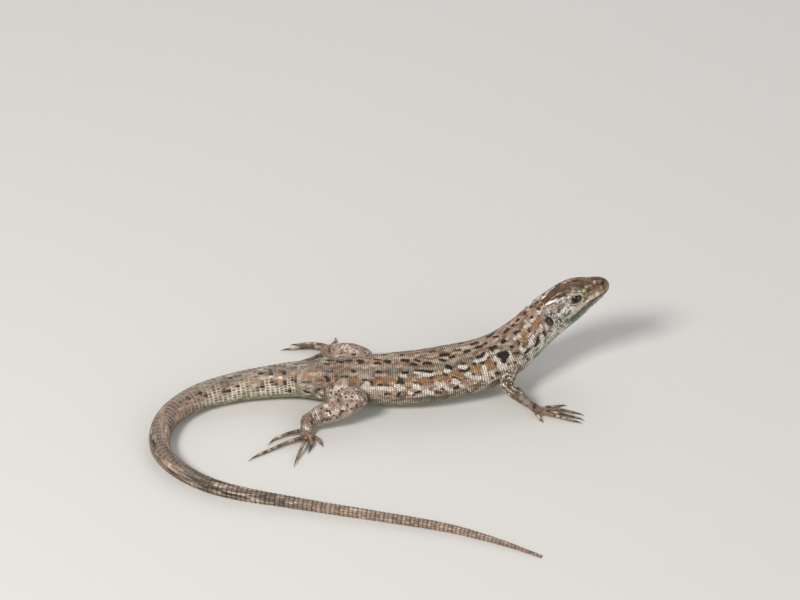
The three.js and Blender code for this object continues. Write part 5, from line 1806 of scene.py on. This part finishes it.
s, u = granules_between()
head_scales = Coat()
throat = step(0.33, 0.38, np.abs(u))
size = (0.5 * HEAD_PITCH * (1 + 0.12 * throat)) * chance.uniform(0.92, 1.06, len(s))
lay_on_body(head_scales, GRANULE, s, u, size, size, COAT * (0.85 - 0.25 * throat), gap=0.3, vary=0.24)
coat_pieces.append(head_scales.piece("head_scales"))

# ---------------------------------------------------------------- the eyes and their lids

IRIS, IRIS_RIM, EYE_DARK = tone(74, 52, 43), tone(104, 72, 48), tone(16, 10, 8)
PUPIL_REACH, IRIS_REACH = 0.62, 1.12
CORNEA_BULGE = 0.07
LID_RADIUS = EYE_RADIUS + 0.07
LID_TONE, LID_EDGE, LID_OUTER = tone(244, 233, 217), tone(34, 25, 20), tone(208, 194, 178)
LID_LEAN = math.radians(6)  # the opening lies tilted by this much
OPEN_LONG, OPEN_UP, OPEN_DOWN, OPEN_SQUARE = 1.4, 0.76, 0.92, 1.8  # its reach from the eye's axis each way
LID_SIDES, LID_STEPS = 64, 15  # the grid of the lids' surface, round the eye and outward
LID_ROWS, LID_ROUND = 4, 34  # the rings of scales on the lids, and how many scales each has
LID_SCALES_START, LID_SCALE_SHARE = 0.17, 0.26


def eye_axes(hand):
    """The centre of an eye and its directions: forward, up along the ball, and straight out of it."""
    s = EYE_ALONG
    left = hand * at("left", s)
    up, forward = at("up", s), at("forward", s)
    out = math.cos(EYE_TILT) * left + math.sin(EYE_TILT) * up
    rise = -math.sin(EYE_TILT) * left + math.cos(EYE_TILT) * up
    return at("origin", s) + EYE_SIDE * left + EYE_UP * up, forward, rise, out


def eye_ball(name, hand, rings=30, sides=48):
    """The ball of an eye, with its iris and pupil as rings of colour round its axis, and painted shadow from
    the brow over its upper half.
    """
    polar = np.linspace(math.pi - 0.02, 0.02, rings)[:, None]
    turn = (2 * math.pi * np.arange(sides) / sides)[None, ::hand]
    radius = EYE_RADIUS - 0.03 + CORNEA_BULGE * np.exp(-((polar / 0.55) ** 2))
    flat = radius * np.sin(polar)
    places = np.broadcast_arrays(flat * np.cos(turn), flat * np.sin(turn), radius * np.cos(polar))
    centre, *axes = eye_axes(hand)
    points, faces = loft(centre + np.stack(places, -1) @ axes)
    reach = np.where(polar < math.pi / 2, flat, 9.0) + 0 * turn
    rays = noise(np.stack(np.broadcast_arrays(3 * np.cos(turn), 3 * np.sin(turn), reach), -1), 0.35, 21)
    tint = layered(
        IRIS * (0.6 + 0.8 * rays[..., None]),
        (IRIS_RIM, 1 - step(0.03, 0.1, np.abs(reach - PUPIL_REACH - 0.03))),
        (EYE_DARK, step(0.94, IRIS_REACH, reach)),
        (BLACK * 0.15, 1 - step(PUPIL_REACH - 0.03, PUPIL_REACH + 0.01, reach)),
        # painted shadow: the brow's shade darkens the upper half of the ball
        (EYE_DARK, 0.9 * step(0.1, 0.5, reach * np.sin(turn))),
    )
    ball = add_piece(name, points, faces, tint.reshape(-1, 3))
    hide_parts("eye_left" if hand > 0 else "eye_right")
    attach(ball, "root")
    return ball


def lid_opening(turn):
    """The edge of the opening between the lids, as its distance from the eye's axis each way round."""
    lean = turn + LID_LEAN
    half_high = np.where(np.sin(lean) > 0, OPEN_UP, OPEN_DOWN)
    long, high = np.abs(np.cos(lean)) / OPEN_LONG, np.abs(np.sin(lean)) / half_high
    return 1 / (long**OPEN_SQUARE + high**OPEN_SQUARE) ** (1 / OPEN_SQUARE)


def orbit_edge(turn):
    """The edge of the hollow that the eye and lids lie in, as its distance from the eye's axis."""
    half_high = np.where(np.sin(turn) > 0, ORBIT_UP, ORBIT_DOWN)
    return 1 / np.hypot(np.cos(turn) / ORBIT_LONG, np.sin(turn) / half_high)


def make_lids(centre, forward, rise, out):
    """A grid of the lids' surface, from the opening's edge out to the brow and cheek."""
    turn = (2 * math.pi * np.arange(LID_SIDES) / LID_SIDES)[:, None]
    share = np.linspace(0, 1, LID_STEPS)
    reach = lid_opening(turn) * (1 - share) + 1.08 * orbit_edge(turn) * share
    flat = (reach * np.cos(turn))[..., None] * forward + (reach * np.sin(turn))[..., None] * rise
    dome = np.sqrt(np.maximum(LID_RADIUS**2 - reach**2, 0.0))
    ground = np.zeros(reach.shape)
    start = 4.0  # outside the head, where each ray toward the skin begins
    for place in np.ndindex(ground.shape):
        _, _, _, far = skin_tree.ray_cast(Vector(centre + flat[place] + start * out), Vector(-out))
        ground[place] = 0.0 if far is None else start - far
    soft = 0.07
    height = soft * np.logaddexp(dome / soft, (ground + 0.03) / soft)
    height = height + step(0.75, 1.0, share) * (ground - 0.05 - height)
    return centre + flat + height[..., None] * out


def lid_tint(points, share):
    """A pale ring next to the eye, a dark line round it and a paler ring outside, all lightly freckled."""
    freckle = 0.6 * step(0.5, 0.65, noise(points, 0.5, 22)) * step(0.15, 0.3, share)
    tint = layered(
        np.broadcast_to(LID_TONE, points.shape),
        (LID_EDGE * 1.2, step(0.34, 0.42, share)),
        (LID_OUTER, step(0.56, 0.66, share)),
    )
    return mixed(tint, tint * 0.45, freckle)


def lay_lids(hand, scales):
    """Lays the small scales of one eye's lids, and gives the lids' own points, faces and tints."""
    centre, forward, rise, out = eye_axes(hand)
    grid = make_lids(centre, forward, rise, out)
    inner = centre + 0.93 * (grid[:, :1] - centre)
    rings = np.concatenate([inner, grid], 1).transpose(1, 0, 2)[:, ::-hand]
    points, faces = loft(rings)
    tint = lid_tint(rings, np.append(0, np.linspace(0, 1, LID_STEPS))[:, None])
    tint[:3] = LID_EDGE

    outward = unit(np.cross(np.roll(grid, -1, 0) - grid, np.gradient(grid, axis=1)))
    outward *= np.sign((outward * out).sum(-1))[..., None]

    def on_lid(values, turn, share):
        round_it = np.concatenate([values, values[:1]])
        return look_up(round_it, (turn % 1.0) * LID_SIDES, np.clip(share, 0, 0.999) * (LID_STEPS - 1))

    row = np.repeat(np.arange(LID_ROWS), LID_ROUND)
    turn = np.tile(np.arange(LID_ROUND), LID_ROWS) / LID_ROUND + 0.5 * (row % 2) / LID_ROUND
    share = LID_SCALES_START + LID_SCALE_SHARE * np.maximum(row - 0.05, 0)
    half_share = np.where(row == 0, 0.1, 0.135)[:, None]
    a = turn[:, None] + hand * SMALL_PLATE.across * 0.5 / LID_ROUND
    b = share[:, None] + SMALL_PLATE.back * half_share
    laid = on_lid(grid, a, b) + 0.07 * SMALL_PLATE.up[:, None] * on_lid(outward, a, b)
    places = on_lid(grid, turn, share)
    colour = shaded(SMALL_PLATE, lid_tint(places, share)[:, None], 0.45, 0.1)
    side = 0.83 if hand > 0 else 0.17
    away = places - centre
    scales.lay(SMALL_PLATE, laid, colour, body_map(EYE_ALONG - away @ forward, side + 0.04 * away @ rise))
    return points, faces[:-2], tint.reshape(-1, 3)


balls = [eye_ball("eyeball_left", 1), eye_ball("eyeball_right", -1)]
lid_scales = Coat()
lids = add_piece("eyelids", *joined([lay_lids(hand, lid_scales) for hand in (1, -1)]))
coat_pieces.append(lid_scales.piece("eyelid_scales"))

# ---------------------------------------------------------------- materials

BUMP_DEPTH = 0.02


def new_material(name):
    """A material with its nodes, its links and the sockets of its shader."""
    material = bpy.data.materials.new(name)
    material.use_nodes = True
    tree = material.node_tree
    return material, tree.nodes, tree.links, tree.nodes["Principled BSDF"].inputs


def add_node(nodes, kind, **values):
    """A shader node with the values of its sockets, whose names have _ for a space here."""
    node = nodes.new(f"ShaderNode{kind}")
    for name, value in values.items():
        node.inputs[name.replace("_", " ")].default_value = value
    return node


def make_material(name, roughness, grain, bump, mottle=0.25, gloss=0.0):
    """A finish in the mesh's own tints, mottled and roughened by noise. grain is its lumps' size in mm."""
    material, nodes, links, sockets = new_material(name)
    place, tint = add_node(nodes, "TexCoord"), add_node(nodes, "Attribute")
    tint.attribute_name = "Tint"
    lumps = add_node(nodes, "TexNoise", Scale=1 / (grain * MM), Detail=4)
    shade = add_node(nodes, "MapRange", To_Min=1 - mottle, To_Max=1 + mottle)
    rough = add_node(nodes, "MapRange", To_Min=roughness - 0.1, To_Max=roughness + 0.1)
    mix = add_node(nodes, "VectorMath")
    mix.operation = "SCALE"
    links.new(place.outputs["Object"], lumps.inputs["Vector"])
    for follower in (shade, rough):
        links.new(lumps.outputs["Fac"], follower.inputs["Value"])
    links.new(tint.outputs["Color"], mix.inputs[0])
    links.new(shade.outputs["Result"], mix.inputs["Scale"])
    links.new(mix.outputs["Vector"], sockets["Base Color"])
    links.new(rough.outputs["Result"], sockets["Roughness"])
    if bump:
        raised = add_node(nodes, "Bump", Strength=bump, Distance=BUMP_DEPTH * MM)
        links.new(lumps.outputs["Fac"], raised.inputs["Height"])
        links.new(raised.outputs["Normal"], sockets["Normal"])
    sockets["Specular IOR Level"].default_value = 0.25 if gloss else 0.5
    if gloss:
        sockets["Coat Weight"].default_value = gloss
        sockets["Coat Roughness"].default_value = 0.03
    return material


FINISHES = {
    "skin": make_material("lizard_skin", 0.6, 0.12, 0.5, 0.15),
    "scales": make_material("lizard_scales", 0.54, 0.16, 0.4, 0.15),
    "eye": make_material("lizard_eye", 0.3, 0.1, 0.0, 0.15, 0.3),
    "claw": make_material("lizard_claw", 0.35, 0.08, 0.3, 0.3, 0.3),
}

FLESH = ["head", "lower_jaw", "neck", "trunk"] + [f"tail_{n}" for n in range(1, 9)]
for limb in limbs:
    FLESH += [f"{node}_{limb.hand}" for node in LIMB_NODES[limb.kind][:3]]
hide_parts(*FLESH)
skin.data.materials.append(FINISHES["skin"])
for piece in coat_pieces + [lids]:
    piece.data.materials.append(FINISHES["scales"])
for piece in balls:
    piece.data.materials.append(FINISHES["eye"])
for limb in limbs:
    limb.claws.data.materials.append(FINISHES["claw"])
for piece in [skin, lids] + coat_pieces:
    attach(piece, "root")

# ---------------------------------------------------------------- floor, light and camera

# A flat round floor that curves up into a low wall, in metres.
FLOOR_FLAT, FLOOR_CURVE, WALL_HEIGHT, FLOOR_SIDES = 1.3, 0.8, 0.8, 96


def add_floor():
    """The floor from its outer edge inward, so that the loft's first cap, the lid, can be left off."""
    bends = np.radians(np.arange(90, -1, -6))
    curve = np.stack([FLOOR_FLAT + FLOOR_CURVE * np.sin(bends), FLOOR_CURVE * (1 - np.cos(bends))], -1)
    edge = [FLOOR_FLAT + FLOOR_CURVE, FLOOR_CURVE + WALL_HEIGHT]
    radius, height = np.vstack([edge, curve, [0.8, 0], [0.4, 0]]).T[..., None]
    turn = 2 * math.pi * np.arange(FLOOR_SIDES) / FLOOR_SIDES
    points, faces = loft(np.stack([radius * np.cos(turn), radius * np.sin(turn), height + 0 * turn], -1))
    faces = faces[:-2] + faces[-1:]
    mesh = bpy.data.meshes.new("floor")
    mesh.from_pydata(points.tolist(), [], faces)
    mesh.polygons.foreach_set("use_smooth", [True] * len(faces))
    piece = bpy.data.objects.new("floor", mesh)
    bpy.context.scene.collection.objects.link(piece)
    return piece


def floor_material():
    """A pale plain finish that glows softly far out, as a lit backdrop does."""
    material, nodes, links, sockets = new_material("pale_floor")
    sockets["Base Color"].default_value = (0.66, 0.65, 0.63, 1)
    sockets["Roughness"].default_value = 0.8
    sockets["Emission Color"].default_value = (1.0, 0.985, 0.96, 1)
    place, reach = add_node(nodes, "TexCoord"), add_node(nodes, "VectorMath")
    reach.operation = "LENGTH"
    glow = add_node(nodes, "MapRange", From_Min=0.35, From_Max=1.5, To_Min=0.0, To_Max=0.33)
    links.new(place.outputs["Object"], reach.inputs[0])
    links.new(reach.outputs["Value"], glow.inputs["Value"])
    links.new(glow.outputs["Result"], sockets["Emission Strength"])
    return material


floor = add_floor()
floor.data.materials.append(floor_material())


def add_light(name, place, size, power, colour):
    """A square studio light that shines on the middle of the lizard."""
    data = bpy.data.lights.new(name, "AREA")
    data.size, data.energy, data.color = size, power, colour
    lamp = bpy.data.objects.new(name, data)
    lamp.location = place
    aim = Vector((0, 0, 0.008)) - Vector(place)
    lamp.rotation_euler = aim.to_track_quat("-Z", "Y").to_euler()
    bpy.context.scene.collection.objects.link(lamp)


add_light("key", (-0.36, -0.32, 0.5), 0.2, 3.75, (1.0, 0.97, 0.92))
add_light("fill", (0.5, -0.45, 0.35), 0.6, 1.5, (0.96, 0.98, 1.0))
add_light("rim", (0.1, 0.6, 0.5), 0.5, 1.2, (1.0, 1.0, 1.0))

world = bpy.data.worlds.new("studio")
world.use_nodes = True
sky = world.node_tree.nodes["Background"].inputs
sky["Color"].default_value = (0.93, 0.95, 1.0, 1)
sky["Strength"].default_value = 0.22
bpy.context.scene.world = world
bpy.context.scene.view_settings.view_transform = "Standard"

camera_data = bpy.data.cameras.new("camera")
camera_data.lens, camera_data.sensor_width, camera_data.sensor_fit = LENS, SENSOR, "HORIZONTAL"
camera_data.clip_start, camera_data.clip_end = 0.01, 20
camera = bpy.data.objects.new("camera", camera_data)
camera.location = CAMERA_PLACE * MM
camera.rotation_euler = (math.pi / 2 - CAMERA_PITCH, 0, 0)
bpy.context.scene.collection.objects.link(camera)
bpy.context.scene.camera = camera
